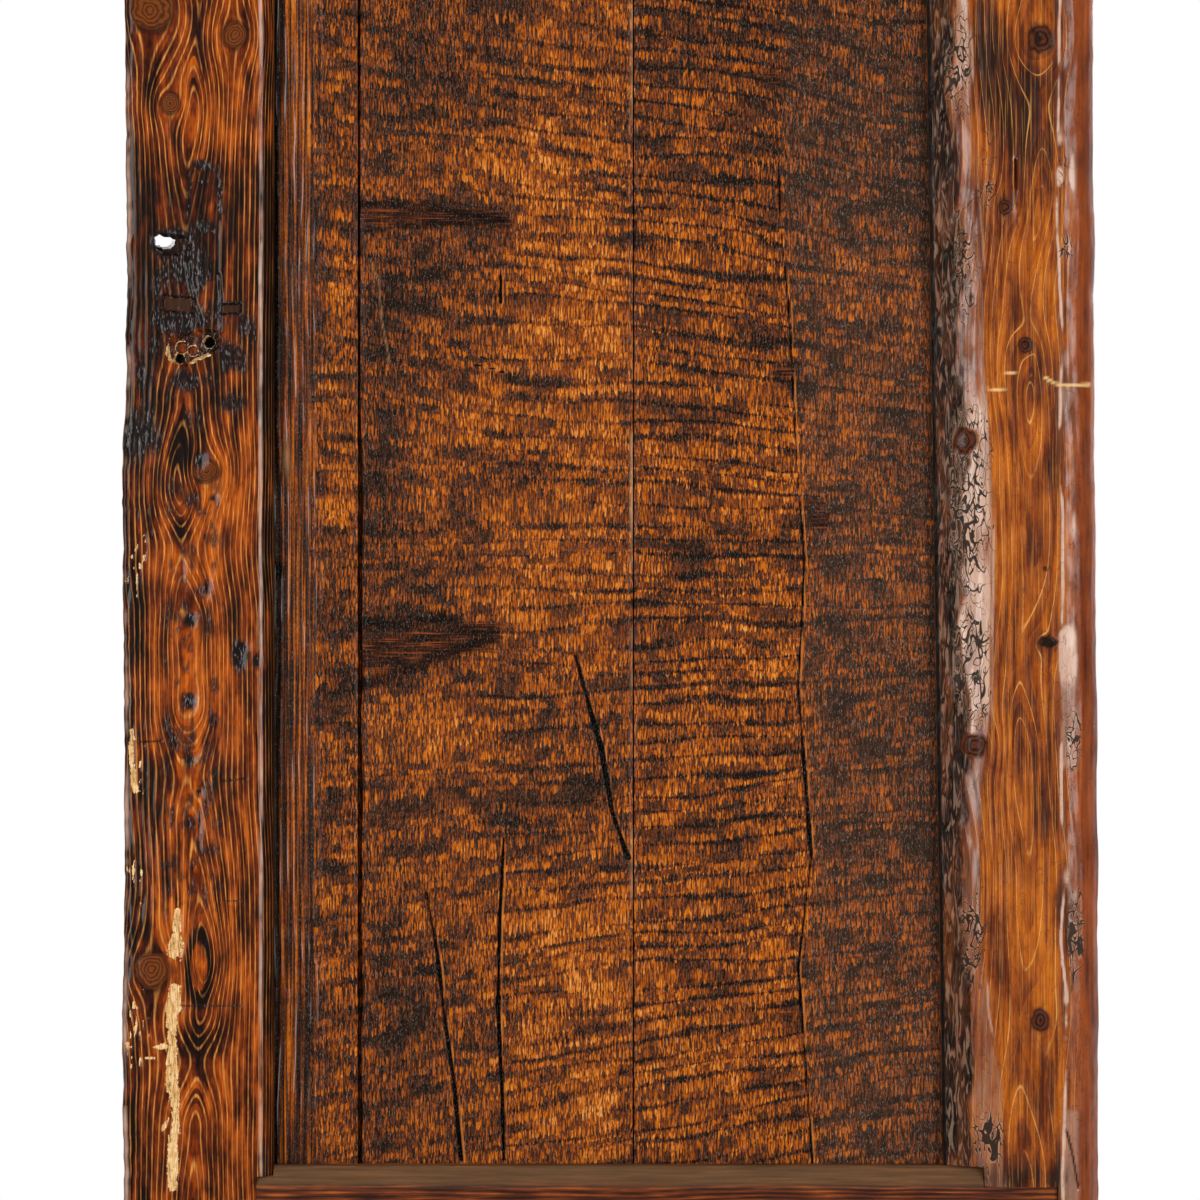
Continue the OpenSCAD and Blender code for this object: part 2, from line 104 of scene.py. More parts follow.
# %% The arch
ARCH_RISE = 200
ARCH_R = (LEAF_W ** 2 / 4 + ARCH_RISE ** 2) / (2 * ARCH_RISE)
ARCH_X = LEAF_W / 2
ARCH_Z = LEAF_H - ARCH_R
# Width of the head rail, and of the rebate in it that seats the boards
HEAD_W, SEAT_W = 150, 40
HEAD_INNER_R = ARCH_R - HEAD_W
SEAT_R = HEAD_INNER_R + SEAT_W
# Rows are close together up to the first height, and closest over the lock's scars
FINE_HIGH = 1364
SCAR_LOW, SCAR_HIGH = 978, 1200
# Above this height the rows of a timber spread out to meet the arch
SPRING = 1780


def arc(radius, x):
    """Height of an arc about the arch's centre, at places across the leaf."""
    return ARCH_Z + np.sqrt(np.maximum(radius ** 2 - (x - ARCH_X) ** 2, 0))


def arched(level, x, radius, spring):
    """Heights of rows that are level up to the spring and spread out above it to end on an arc."""
    raised = spring + (level - spring) * (arc(radius, x) - spring) / (LEAF_H - spring)
    return np.where(level < spring, level, raised)


print("arch of radius", round(ARCH_R), "mm")

# %% [markdown]
# ## Random fields
# Wood is regular and random at once: rings follow the trunk, and knots, tools and weather disturb
# them. Chance comes from a smooth random field with a seed of its own for each use, so every run gives
# the same leaf. All fields work on whole arrays of places, so a dense mesh is quick.

# %% Random fields


def noise(x, z, seed):
    """Smooth random field from -1 to 1 with about one bump per unit."""
    xi, zi = np.floor(x), np.floor(z)
    u, v = x - xi, z - zi
    u, v = u * u * (3 - 2 * u), v * v * (3 - 2 * v)

    def corner(a, b):
        # Large uneven factors scatter the values of neighbouring corners
        h = np.sin(a * 127.1 + b * 311.7 + seed * 74.7) * 43758.5453
        return 2 * (h - np.floor(h)) - 1

    low = corner(xi, zi) * (1 - u) + corner(xi + 1, zi) * u
    high = corner(xi, zi + 1) * (1 - u) + corner(xi + 1, zi + 1) * u
    return low * (1 - v) + high * v


def rough(x, z, seed):
    """Random field with finer bumps on coarser ones."""
    finer = noise(2 * x, 2 * z, seed + 1) / 2
    finest = noise(4 * x, 4 * z, seed + 2) / 4
    return (noise(x, z, seed) + finer + finest) / 1.75


def along(z, length, seed, field=noise):
    """Random field that changes along the height only, with about one bump in each length."""
    return field(0 * z, z / length, seed)


def ramp(value, low, high):
    """0 below low, 1 above high, smooth between."""
    t = np.clip((value - low) / (high - low), 0, 1)
    return t * t * (3 - 2 * t)


# %% [markdown]
# ## Lumps, strokes and curves
# A stain or a knot is a round lump, a crack or a scratch is a stroke along a line, and an edge that
# wanders is a smooth curve through given heights. Tables of numbers then place each of them.

# %% Lumps, strokes and curves


def highest(fields):
    """Highest of several fields at each place."""
    return np.maximum.reduce(fields)


def lump(x, z, cx, cz, rx, rz):
    """Round hill, 1 at its centre, about 0.37 one radius away."""
    return np.exp(-((x - cx) / rx) ** 2 - ((z - cz) / rz) ** 2)


def lumps(x, z, table):
    """Highest of several hills, each with its own height."""
    field = np.zeros_like(x)
    for cx, cz, rx, rz, height in table:
        field = np.maximum(field, height * lump(x, z, cx, cz, rx, rz))
    return field


def away(x, z, points):
    """Distance from a line through points."""
    best = np.full_like(x, 1e6)
    for (ax, az), (bx, bz) in zip(points, points[1:]):
        dx, dz = bx - ax, bz - az
        t = np.clip(((x - ax) * dx + (z - az) * dz) / (dx * dx + dz * dz), 0, 1)
        best = np.minimum(best, np.hypot(x - ax - t * dx, z - az - t * dz))
    return best


def stroke(x, z, points, half_width):
    """1 along a line through points, falling to 0 at half its width."""
    return np.clip(1 - away(x, z, points) / half_width, 0, 1)


def strokes(x, z, table):
    """Highest of several strokes, each given by its half width and its points."""
    field = np.zeros_like(x)
    for half_width, points in table:
        field = np.maximum(field, stroke(x, z, points, half_width))
    return field


def swell(z, table):
    """Smooth curve through pairs of height and value."""
    heights, values = np.array(sorted(table), float).T
    i = np.clip(np.searchsorted(heights, z) - 1, 0, len(heights) - 2)
    t = ramp(z, heights[i], heights[i + 1])
    return values[i] + (values[i + 1] - values[i]) * t


# %% [markdown]
# ## Grain
# A ring coordinate counts the hard lines from the heart outwards. Its fraction says how near a line is,
# and moving the places apart round a knot makes the lines flow round it.

# %% Grain


def crest(ring):
    """How near a place is to the hard line of its ring: 0 midway between two lines, 1 on a line."""
    return 1 - np.abs(2 * (ring - np.floor(ring)) - 1)


def parted(x, z, knots):
    """Places moved so that grain that follows them parts round knots."""
    moved = x.copy()
    for cx, cz, rx, rz in knots:
        pull = 0.85 * lump(x, z, cx, cz, 1.5 * rx, 1.9 * rz) + 0.25 * lump(x, z, cx, cz, 3 * rx, 4 * rz)
        moved -= (x - cx) * np.minimum(pull, 0.92)
    return moved


def knot_share(x, z, knots):
    """Distance from the nearest knot's centre as a share of its radius, at most 2."""
    share = np.full_like(x, 2.0)
    for cx, cz, rx, rz in knots:
        share = np.minimum(share, np.hypot((x - cx) / rx, (z - cz) / rz))
    return share


# %% [markdown]
# ## Wrapping a timber
# A timber could be cut from a cube, but brushed grain needs tens of thousands of small faces just where
# the eye looks. So a flat grid is added and rolled round the timber's section like paper round a stick:
# narrow columns on the face, a few wide ones on the back, and rows close together only in the finely
# modelled heights. The seam is merged and the ends are filled, which gives a closed skin.

# %% Rows and sections


def steps(*stretches):
    """Heights with a row spacing of their own in each stretch of (from, to, spacing)."""
    rows = [np.linspace(a, b, max(2, round((b - a) / gap) + 1))[:-1] for a, b, gap in stretches]
    return np.concatenate(rows + [[stretches[-1][1]]])


def rolled(corners, pieces):
    """Points round a section: corners is (rows, corners, 2), with a count of columns for each side."""
    sides = []
    for i, count in enumerate(pieces):
        a, b = corners[:, i], corners[:, (i + 1) % len(pieces)]
        t = np.arange(count) / count
        sides.append(a[:, None] + (b - a)[:, None] * t[None, :, None])
    return np.concatenate(sides, axis=1)


# %% [markdown]
# ## Closing the skin
# A flat end can be filled as it is, but the rim of an arched top isn't flat. A strip of triangles joins
# its front edge to its back edge instead.

# %% Wrapping and closing


def close_arch(piece, split):
    """Closes an arched top with a strip of faces from its front edge to its back edge."""
    bm = bmesh.new()
    bm.from_mesh(piece.data)
    rim = {v for e in bm.edges if e.is_boundary for v in e.verts if v.co.z > SPRING * MM}
    front = sorted((v for v in rim if (BACK - v.co.y) / MM > split), key=lambda v: v.co.x)
    rear = sorted((v for v in rim if (BACK - v.co.y) / MM <= split), key=lambda v: v.co.x)
    i = j = 0
    while i + 1 < len(front) or j + 1 < len(rear):
        if j + 1 == len(rear) or (i + 1 < len(front) and front[i + 1].co.x <= rear[j + 1].co.x):
            bm.faces.new((front[i], front[i + 1], rear[j]))
            i += 1
        else:
            bm.faces.new((front[i], rear[j + 1], rear[j]))
            j += 1
    bm.to_mesh(piece.data)
    bm.free()


def wrapped(name, x, d, z, arch_split=None):
    """Timber of rows of points, each row once round the section, as an object with a closed skin."""
    rows, columns = x.shape
    bpy.ops.object.select_all(action="DESELECT")
    bpy.ops.mesh.primitive_grid_add(x_subdivisions=columns, y_subdivisions=rows - 1, size=1)
    piece = bpy.context.object
    piece.name = piece.data.name = name
    flat = np.empty(len(piece.data.vertices) * 3)
    piece.data.vertices.foreach_get("co", flat)
    flat = flat.reshape(-1, 3)
    column = np.rint((flat[:, 0] + 0.5) * columns).astype(int) % columns
    row = np.rint((flat[:, 1] + 0.5) * (rows - 1)).astype(int)
    place = in_frame(x, d, z)[row, column]
    piece.data.vertices.foreach_set("co", place.ravel())
    bpy.ops.object.mode_set(mode="EDIT")
    bpy.ops.mesh.select_all(action="SELECT")
    bpy.ops.mesh.remove_doubles(threshold=MM / 100)
    bpy.ops.object.mode_set(mode="OBJECT")
    if arch_split is not None:
        close_arch(piece, arch_split)
    bpy.ops.object.mode_set(mode="EDIT")
    bpy.ops.mesh.select_all(action="SELECT")
    bpy.ops.mesh.fill_holes(sides=0)
    bpy.ops.mesh.normals_make_consistent(inside=False)
    bpy.ops.object.mode_set(mode="OBJECT")
    print(name, len(piece.data.vertices), "vertices")
    return piece


# %% [markdown]
# ## Moving, painting and finishing
# Each timber is first made plain and then worn. Wear reads where the vertices are, moves them and paints
# fields on them, and a last function gives the timber its finish and its place on the leaf.

# %% Moving, painting and finishing


def places(piece):
    """The vertices' x, d and z in millimetres on the leaf."""
    flat = np.empty(len(piece.data.vertices) * 3)
    piece.data.vertices.foreach_get("co", flat)
    flat = flat.reshape(-1, 3)
    return (flat[:, 0] - LEFT) / MM, (BACK - flat[:, 1]) / MM, flat[:, 2] / MM


def move_to(piece, x, d, z):
    """Moves the vertices to places on the leaf."""
    piece.data.vertices.foreach_set("co", in_frame(x, d, z).ravel())
    piece.data.update()


def paint(piece, **fields):
    """Stores fields on the vertices, where the materials read them."""
    for name, values in fields.items():
        layer = piece.data.attributes.new(name, "FLOAT", "POINT")
        layer.data.foreach_set("value", values.astype(np.float32))


def finished(piece, material):
    """Shades a timber, gives it its material and hangs it on the leaf in place of its CAD node."""
    bpy.ops.object.select_all(action="DESELECT")
    piece.select_set(True)
    bpy.context.view_layer.objects.active = piece
    bpy.ops.object.shade_smooth_by_angle(angle=math.radians(50))
    piece.data.materials.append(material)
    node = piece.name.removeprefix("old_")
    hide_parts(node)
    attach(piece, "leaf")
    print(piece.name, "in place of", node, "with", material.name)


# %% [markdown]
# ## Materials: one function for nodes
# A material is a little network of nodes. One function adds a node, sets it and links it. Colours are
# written as they look on screen and turned to linear light by one function, and patterns are sized in
# millimetres.

# %% Node and colour helpers


def linear(hexa):
    """Linear colour of an sRGB hex value."""
    parts = [int(hexa[i:i + 2], 16) / 255 for i in (1, 3, 5)]
    return [c / 12.92 if c <= 0.04045 else ((c + 0.055) / 1.055) ** 2.4 for c in parts] + [1]


def add(tree, kind, inputs=None, stops=None, **settings):
    """Adds a node, sets it, and links or sets its inputs. A node as a value gives its first output."""
    made = tree.nodes.new(kind)
    for key, value in settings.items():
        setattr(made, key, value)
    for socket, value in (inputs or {}).items():
        if isinstance(value, bpy.types.Node):
            value = next(o for o in value.outputs if o.enabled)
        if isinstance(value, bpy.types.NodeSocket):
            tree.links.new(value, made.inputs[socket])
        else:
            made.inputs[socket].default_value = linear(value) if isinstance(value, str) else value
    for i, (place, colour) in enumerate(stops or []):
        ramp_stops = made.color_ramp.elements
        stop = ramp_stops[i] if i < 2 else ramp_stops.new(place)
        stop.position = place
        stop.color = linear(colour)
    return made


def per_mm(x, y, z):
    """Scale of a pattern whose features are x, y and z millimetres long."""
    return (1 / (x * MM), 1 / (y * MM), 1 / (z * MM))


# %% [markdown]
# ## Materials: short names for nodes
# A few kinds of node return all the time: arithmetic, spans, mixes, colour ramps and random patterns. A
# small class gives them short names, so that each finish below reads as a list of steps.

# %% Nodes of a material


class Net:
    """The nodes of one material. Each method adds a node, or a pattern together with its place."""

    def __init__(self, tree):
        tree.nodes.clear()
        self.add = functools.partial(add, tree)

    def held(self, *names):
        """Fields that were painted on the vertices."""
        return {k: self.add("ShaderNodeAttribute", attribute_name=k).outputs["Fac"] for k in names}

    def math(self, operation, *values, **settings):
        """One step of arithmetic."""
        return self.add("ShaderNodeMath", dict(enumerate(values)), operation=operation, **settings)

    def times(self, first, second):
        """Product of two values."""
        return self.math("MULTIPLY", first, second)

    def wave(self, value):
        """Distance from the nearest whole number."""
        return self.math("PINGPONG", value, 0.5)

    def off(self, value, level):
        """Distance from a level."""
        return self.math("ABSOLUTE", self.math("SUBTRACT", value, level))

    def paces(self, value, length):
        """Coordinate counted in paces of some millimetres."""
        return self.times(value, 1 / (length * MM))

    def weighed(self, total, *parts):
        """Total plus parts, each given with its weight."""
        for part, weight in parts:
            total = self.math("MULTIPLY_ADD", part, weight, total)
        return total

    def spread(self, value, low=0, high=1, to_low=0, to_high=1, **settings):
        """Value moved from one span to another and held between its ends."""
        spans = {"From Min": low, "From Max": high, "To Min": to_low, "To Max": to_high}
        return self.add("ShaderNodeMapRange", {"Value": value, **spans}, **settings)

    def eased(self, *values):
        """Value moved as by spread, with soft ends."""
        return self.spread(*values, interpolation_type="SMOOTHSTEP")

    def mix(self, part, first, second, **settings):
        """First colour with a part of the second over it."""
        return self.add("ShaderNodeMix", {0: part, 6: first, 7: second}, data_type="RGBA", **settings)

    def between(self, part, first, second):
        """Number between two others."""
        return self.add("ShaderNodeMix", {0: part, 2: first, 3: second}, data_type="FLOAT")

    def colours(self, value, *stops):
        """Colour for a value, from stops of which the first two are the ends."""
        return self.add("ShaderNodeValToRGB", {"Fac": value}, stops=stops)

    def noise(self, x, y, z, detail, shift=(0, 0, 0), **inputs):
        """Random pattern with features x, y and z millimetres long."""
        scale = per_mm(x, y, z)
        place = self.add("ShaderNodeMapping", {"Vector": self.spot, "Location": shift, "Scale": scale})
        return self.add("ShaderNodeTexNoise", {"Vector": place, "Scale": 1, "Detail": detail, **inputs})

    def noise_by(self, coordinates, detail, **inputs):
        """Random pattern on coordinates of its own."""
        place = self.add("ShaderNodeCombineXYZ", coordinates)
        return self.add("ShaderNodeTexNoise", {"Vector": place, "Scale": 1, "Detail": detail, **inputs})

    def surface(self, skin, relief, strength, depth, inputs):
        """Surface of a skin colour with relief some millimetres deep, as the material's output."""
        shape = {"Height": relief, "Strength": strength, "Distance": depth * MM}
        bump = self.add("ShaderNodeBump", shape)
        shader = self.add("ShaderNodeBsdfPrincipled", {"Base Color": skin, "Normal": bump, **inputs})
        self.add("ShaderNodeOutputMaterial", {"Surface": shader})


def new_material(name):
    """Empty material and its nodes, with places on the object as the first of them."""
    material = bpy.data.materials.new(name)
    material.use_nodes = True
    net = Net(material.node_tree)
    net.spot = net.add("ShaderNodeTexCoord").outputs["Object"]
    return material, net


# %% [markdown]
# ## Finish: brushed and stained pine
# The lock stile is flat-sawn pine whose soft early wood was brushed away, so that the hard ring lines
# stand as thin ridges. Stain filled the valleys and was rubbed off the ridges, and varnish lies over
# all. The ring coordinate on the vertices says where each line runs. The nodes draw the lines sharply
# and vary the tone from ring to ring and along the fibres.

# %% Grain of brushed pine


def brushed_grain(net, held, fibres, line_width):
    """Hard lines, and the colour of the wood with these lines."""
    patches = net.noise(16, 40, 60, 4, Roughness=0.65)
    # Each ring gap has a tone of its own that changes along the grain
    ring_count = net.math("FLOOR", held["ring"])
    height = net.add("ShaderNodeSeparateXYZ", {"Vector": net.spot}).outputs["Z"]
    up_grain = net.paces(height, 70)
    gap_key = net.times(ring_count, 7.31)
    tone_sum = net.math("ADD", net.noise_by({"X": gap_key, "Z": up_grain}, 4, Roughness=0.6), patches)
    tone = net.spread(net.weighed(tone_sum, (held["glow"], 0.5)), 0.86, 1.33)
    valley = net.colours(tone, (0.0, "#180C07"), (1.0, "#C25C0E"), (0.25, "#3C1507"), (0.5, "#6B2807"),
                         (0.74, "#9A4109"))
    # Hard lines: a wave on the ring coordinate, narrowed where the fibres are soft
    wander = net.weighed(net.wave(held["ring"]), (fibres, 0.12))
    line = net.eased(wander, 0.5 - line_width, 0.56)
    line_colour = net.mix(fibres, "#9C4610", "#F0A44E")
    line_light = net.spread(held["glow"], -0.7, 0.1, 0.0, 1.6)
    line_seen = net.times(line, net.spread(patches, 0.38, 0.58, 0.2, 0.8))
    line_left = net.spread(held["scarred"], to_low=1.0, to_high=0.3)
    line_most = net.times(line_seen, line_light)
    lined = net.mix(net.math("MULTIPLY", line_most, line_left, use_clamp=True), valley, line_colour)
    return line, net.mix(1.0, lined, net.spread(fibres, 0.3, 0.62, 0.55), blend_type="MULTIPLY")


# %% [markdown]
# ## Finish: knots, stain and raw wood
# Over the grain lie reddish knots with dark rims, black stain of iron and soot with a few painted glints,
# painted highlights along the arrises, and raw wood where the skin has broken away. Varnish covers all
# but the raw wood.

# %% Brushed pine


def broken_wood(net, raw):
    """How bare a place is, and the colour of the raw wood there."""
    torn = net.noise(1.4, 4, 10, 3, Roughness=0.65)
    nicks = net.noise(3, 4, 2.4, 2)
    bare = net.spread(net.weighed(raw, (torn, 0.5), (nicks, 0.9)), 1.12, 1.25)
    raw_body = net.colours(torn, (0.32, "#9A6A34"), (0.68, "#F3D5A2"), (0.5, "#DCAE72"))
    return bare, net.mix(net.spread(nicks, 0.38, 0.3, 0, 0.75), raw_body, "#5E3A1C")


def brushed_pine(name, line_width):
    """Brushed softwood: bright hard lines over dark and amber valleys, with a glossy varnish."""
    material, net = new_material(name)
    held = net.held("ring", "knot", "stain", "raw", "glow", "rubbed", "block", "scarred")
    fibres = net.noise(1.6, 4, 45, 3)
    line, grained = brushed_grain(net, held, fibres, line_width)
    # Knots: reddish heart wood with rings of its own and a dark rim
    curls = net.noise(11, 20, 9, 3)
    knot_noise = net.weighed(net.times(held["knot"], 30.0), (curls, 12.0))
    knot_body = net.mix(net.spread(net.math("SINE", knot_noise), -1, 0.7), "#45210F", "#74390F")
    knot_near = net.off(held["knot"], 1.0)
    knot_rim = net.spread(knot_near, 0.24, 0.06, 0, 0.6)
    knot_in = net.mix(net.spread(held["knot"], 1.05, 0.85), grained, knot_body)
    knotted = net.mix(knot_rim, knot_in, "#180B07")
    # Black stain of iron and soot, bare blocks in the slots, and painted highlights along the arrises
    stained = net.mix(held["stain"], knotted, "#17110E")
    # Painted glints: small grey flecks on the black stain
    glint_seen = net.spread(net.noise(1.3, 4, 6, 1), 0.6, 0.72, 0, 0.6)
    glinting = net.mix(net.times(glint_seen, held["stain"]), stained, "#8B868A")
    rubbed = net.mix(held["rubbed"], net.mix(held["block"], glinting, "#3C2417"), "#C49C88")
    bare, raw_colour = broken_wood(net, held["raw"])
    skin = net.mix(bare, rubbed, raw_colour)
    # Relief too fine for the mesh, and gloss that dies on raw wood
    ridge = net.weighed(line, (fibres, 0.5))
    dull = net.spread(bare, to_low=0.4, to_high=0.8)
    varnish = net.spread(bare, to_low=0.32, to_high=0.0)
    net.surface(skin, ridge, 0.6, 0.6, {"Roughness": dull, "Specular IOR Level": 0.05,
                                        "Coat Weight": varnish, "Coat Roughness": 0.12})
    return material


# Softwood of the lock stile, brushed, stained dark and varnished
pine = brushed_pine("brushed_stained_pine", 0.12)
print(pine.name, len(pine.node_tree.nodes), "nodes")

# %% [markdown]
# ## Lock stile: plain timber
# The stile is a long bar with a small worn bevel outside, a wide rounded bevel inside, a rebate for
# the boards behind, and a notch at the foot for the rail's shoulder. Its top follows the arch.

# %% Lock stile, plain
BEVEL, INNER_BEVEL = 5, 14
REBATE_W, REBATE_D = 15, BOARD_T + FIT
REBATE_TOP = float(arc(SEAT_R, LOCK_W))
NOTCH_TOP, NOTCH_D, NOTCH_X = 181, 14, LOCK_W - 16
level = steps((0, BOARD_FOOT, 10), (BOARD_FOOT, NOTCH_TOP, 3.6), (NOTCH_TOP, SCAR_LOW, 3.6),
              (SCAR_LOW, SCAR_HIGH, 1.35), (SCAR_HIGH, FINE_HIGH, 3.6), (FINE_HIGH, SPRING, 9),
              (SPRING, LEAF_H, 10))
# Two rows this close together make a square step
step = 0.01
CUT_HEIGHTS = (352, 457, 578, 616)
cut_rows = [np.linspace(height - 3.5, height + 3.5, 8) for height in CUT_HEIGHTS]
level = np.sort(np.concatenate(
    [level, *cut_rows, [BOARD_FOOT - step, NOTCH_TOP - step, REBATE_TOP, REBATE_TOP - step]]))
held_back = (level >= BOARD_FOOT) & (level < REBATE_TOP)
notched = level < NOTCH_TOP
corner = np.zeros((len(level), 10, 2))
corner[:, 1] = 0, FRAME_T - BEVEL
corner[:, 2] = BEVEL, FRAME_T
# The inner bevel is rounded by two corners more
corner[:, 3] = LOCK_W - INNER_BEVEL, FRAME_T
corner[:, 4] = LOCK_W - 9, FRAME_T - 2.3
corner[:, 5] = LOCK_W - 4, FRAME_T - 7
corner[:, 6] = LOCK_W, FRAME_T - INNER_BEVEL
corner[:, 7:] = LOCK_W, 0
corner[held_back, 7] = LOCK_W, REBATE_D
corner[held_back, 8] = LOCK_W - REBATE_W, REBATE_D
corner[held_back, 9] = LOCK_W - REBATE_W, 0
corner[notched, 3] = NOTCH_X, FRAME_T
corner[notched, 4] = NOTCH_X, FRAME_T - NOTCH_D / 2
corner[notched, 5] = NOTCH_X, FRAME_T - NOTCH_D
corner[notched, 6] = LOCK_W, FRAME_T - NOTCH_D
skin = rolled(corner, [1, 4, 105, 5, 6, 4, 1, 1, 1, 10])
x, d = skin[..., 0], skin[..., 1]
z = arched(level[:, None], x, ARCH_R, SPRING)
lock_stile = wrapped("old_lock_stile", x, d, z, arch_split=20)

# %% [markdown]
# ## Lock stile: the latch hole
# The lost latch left a hole right through the stile, so daylight shows in it. A cylinder is stretched
# to a ragged oblong, leant as the hole was bored, and cut away with a boolean modifier.

# %% Latch hole
HOLE_X, HOLE_Z, HOLE_W, HOLE_H = 41.5, 1117.5, 18, 12
HOLE_LEAN_X, HOLE_LEAN_Z = -7.3, 5.9
bpy.ops.object.select_all(action="DESELECT")
bpy.ops.mesh.primitive_cylinder_add(
    vertices=40, radius=HOLE_H / 2 * MM, depth=2 * FRAME_T * MM,
    location=(LEFT + HOLE_X * MM, BACK - FRAME_T * MM, HOLE_Z * MM), rotation=(math.pi / 2, 0, 0))
cutter = bpy.context.object
bpy.ops.object.transform_apply(location=True, rotation=True, scale=True)
x, d, z = places(cutter)
turn = np.arctan2(z - HOLE_Z, x - HOLE_X)
ragged = 1 + 0.3 * noise(3 + 2.6 * np.cos(turn), 3 + 2.6 * np.sin(turn), 36)
behind_face = 1 - d / FRAME_T
stretched = np.sign(x - HOLE_X) * (HOLE_W - HOLE_H) / 2
cut_x = HOLE_X + (x - HOLE_X) * ragged + stretched + HOLE_LEAN_X * behind_face
cut_z = HOLE_Z + (z - HOLE_Z) * ragged + HOLE_LEAN_Z * behind_face
move_to(cutter, cut_x, d, cut_z)
bpy.context.view_layer.objects.active = lock_stile
cut = lock_stile.modifiers.new("latch hole", "BOOLEAN")
cut.object = cutter
cut.operation = "DIFFERENCE"
cut.solver = "EXACT"
bpy.ops.object.modifier_apply(modifier=cut.name)
bpy.data.objects.remove(cutter)
print("lock stile with its hole", len(lock_stile.data.vertices), "vertices")

# %% [markdown]
# ## Lock stile: rings and knots
# The heart of the tree lies just under the face, and it rises and sinks along the stile. Where it
# sinks, the ring lines close in pointed ovals, and they part round knots. The lines could be drawn one
# by one, but a ring coordinate worked out from the heart's line and depth keeps them together.

# %% Rings of the lock stile
RING = 5.1
MEAN_DEPTH = 25
HEART_LINE = [(0, 72), (158, 72), (298, 74), (458, 74), (588, 67), (738, 66), (813, 60), (908, 62),
              (1358, 66), (2100, 70)]
HEART_DEPTH = [(0, 26), (80, 18), (158, 22), (228, 25), (296, 34), (348, 25), (398, 17), (470, 24),
               (528, 27), (588, 33), (650, 23), (708, 21), (758, 24), (810, 30), (868, 19), (958, 28),
               (1013, 33), (1108, 30), (1238, 21), (1330, 30), (1480, 18), (1600, 31), (1750, 20),
               (1900, 30), (2100, 20)]
LOCK_KNOTS = [(28, 1348, 24, 22), (113, 1323, 13, 14), (48, 1255, 10, 11), (84, 887, 13, 12),
              (30, 388, 19, 19), (110, 1620, 16, 18), (40, 1790, 14, 15), (96, 90, 13, 14)]
PITCH_SPOTS = [(68, 738, 8, 9.5, 1), (67, 657, 8.5, 11, 1), (67, 597, 9, 9, 0.8), (77, 566, 4, 5, 0.9),
               (77, 535, 3, 26, 0.7), (118, 703, 9, 17, 1.2), (135, 697, 6, 9, 1.1),
               (77, 898, 7, 10, 0.9), (91, 860, 6, 5, 0.8), (60, 790, 4, 20, 0.5),
               (84, 770, 6, 14, 0.7)]


def lock_ring(x, z):
    """Ring coordinate of the lock stile."""
    shifted = parted(x, z, LOCK_KNOTS + [(s[0], s[1], s[2], s[3]) for s in PITCH_SPOTS[:4]])
    shifted += 1.0 * noise(x / 30, z / 110, 3) + 0.35 * noise(x / 10, z / 40, 4)
    across = shifted - swell(z, HEART_LINE)
    across += 0.12 * np.maximum(-across - 8, 0)
    rise = 1.7 * (swell(z, HEART_DEPTH) - MEAN_DEPTH) * np.exp(-(across / 28) ** 2)
    return 9 + (np.hypot(across, 5) + rise) / RING


x, d, z = places(lock_stile)
face = ramp(d, 44, 52)
# The rings go on down the sides, so the lines run along the stile there too
ring = lock_ring(x, z) + (FRAME_T - d) / 7
knot = knot_share(x, z, LOCK_KNOTS) + 0.16 * rough(x / 9, z / 9, 39)
pitch = lumps(x, z, PITCH_SPOTS)
print("ring lines of the lock stile", round(float(ring.max() - ring.min())))

# %% [markdown]
# ## Lock stile: scars of the lost lock
# The lock left a chopped pocket with auger holes, two slots, a torn mouth round the latch hole and the
# print of a plate, and tools left gouges and cuts. Each scar is a distance from its outline that a
# random field roughens, so that one shape serves the relief and the colour.

# %% Scars of the lock stile
CUTS = [(1.6, [(15, 616), (39, 617)]), (1.8, [(102, 577), (113, 578), (125, 580)]),
        (1.4, [(62, 352), (119, 352)]), (1.3, [(104, 457), (118, 457)])]
GOUGES = [(4, [(65, 1095), (69, 1066), (78, 1035)]), (2.4, [(97, 1083), (98, 1060), (97, 1028)])]
POCKET = (60, 1008, 28, 15, math.radians(18))
AUGERS = [(59, 1011.2, 6, 13), (69.8, 1007.7, 5, 12), (56.8, 1000, 4.8, 22), (86.1, 1016.5, 5.5, 34)]


def oblong(x, z, cx, cz, w, h):
    """Distance outside an upright oblong with half-round ends, negative inside."""
    return np.hypot(np.maximum(np.abs(x - cx) - (w - h) / 2, 0), z - cz) - h / 2


def slot_out(x, z, cx, cz, w, h, tilt=0):
    """Distance outside a rectangle, negative inside."""
    u = (x - cx) * math.cos(tilt) + (z - cz) * math.sin(tilt)
    v = (z - cz) * math.cos(tilt) - (x - cx) * math.sin(tilt)
    return np.maximum(np.abs(u) - w / 2, np.abs(v) - h / 2)


def pocket_out(x, z):
    """Distance outside the chopped pocket of the lost lock."""
    cx, cz, length, r, tilt = POCKET
    t = np.clip(((x - cx) * math.cos(tilt) + (z - cz) * math.sin(tilt)) / length, 0, 1)
    reach = np.hypot(x - cx - t * length * math.cos(tilt), z - cz - t * length * math.sin(tilt))
    return reach - r * (1 - 0.25 * t)


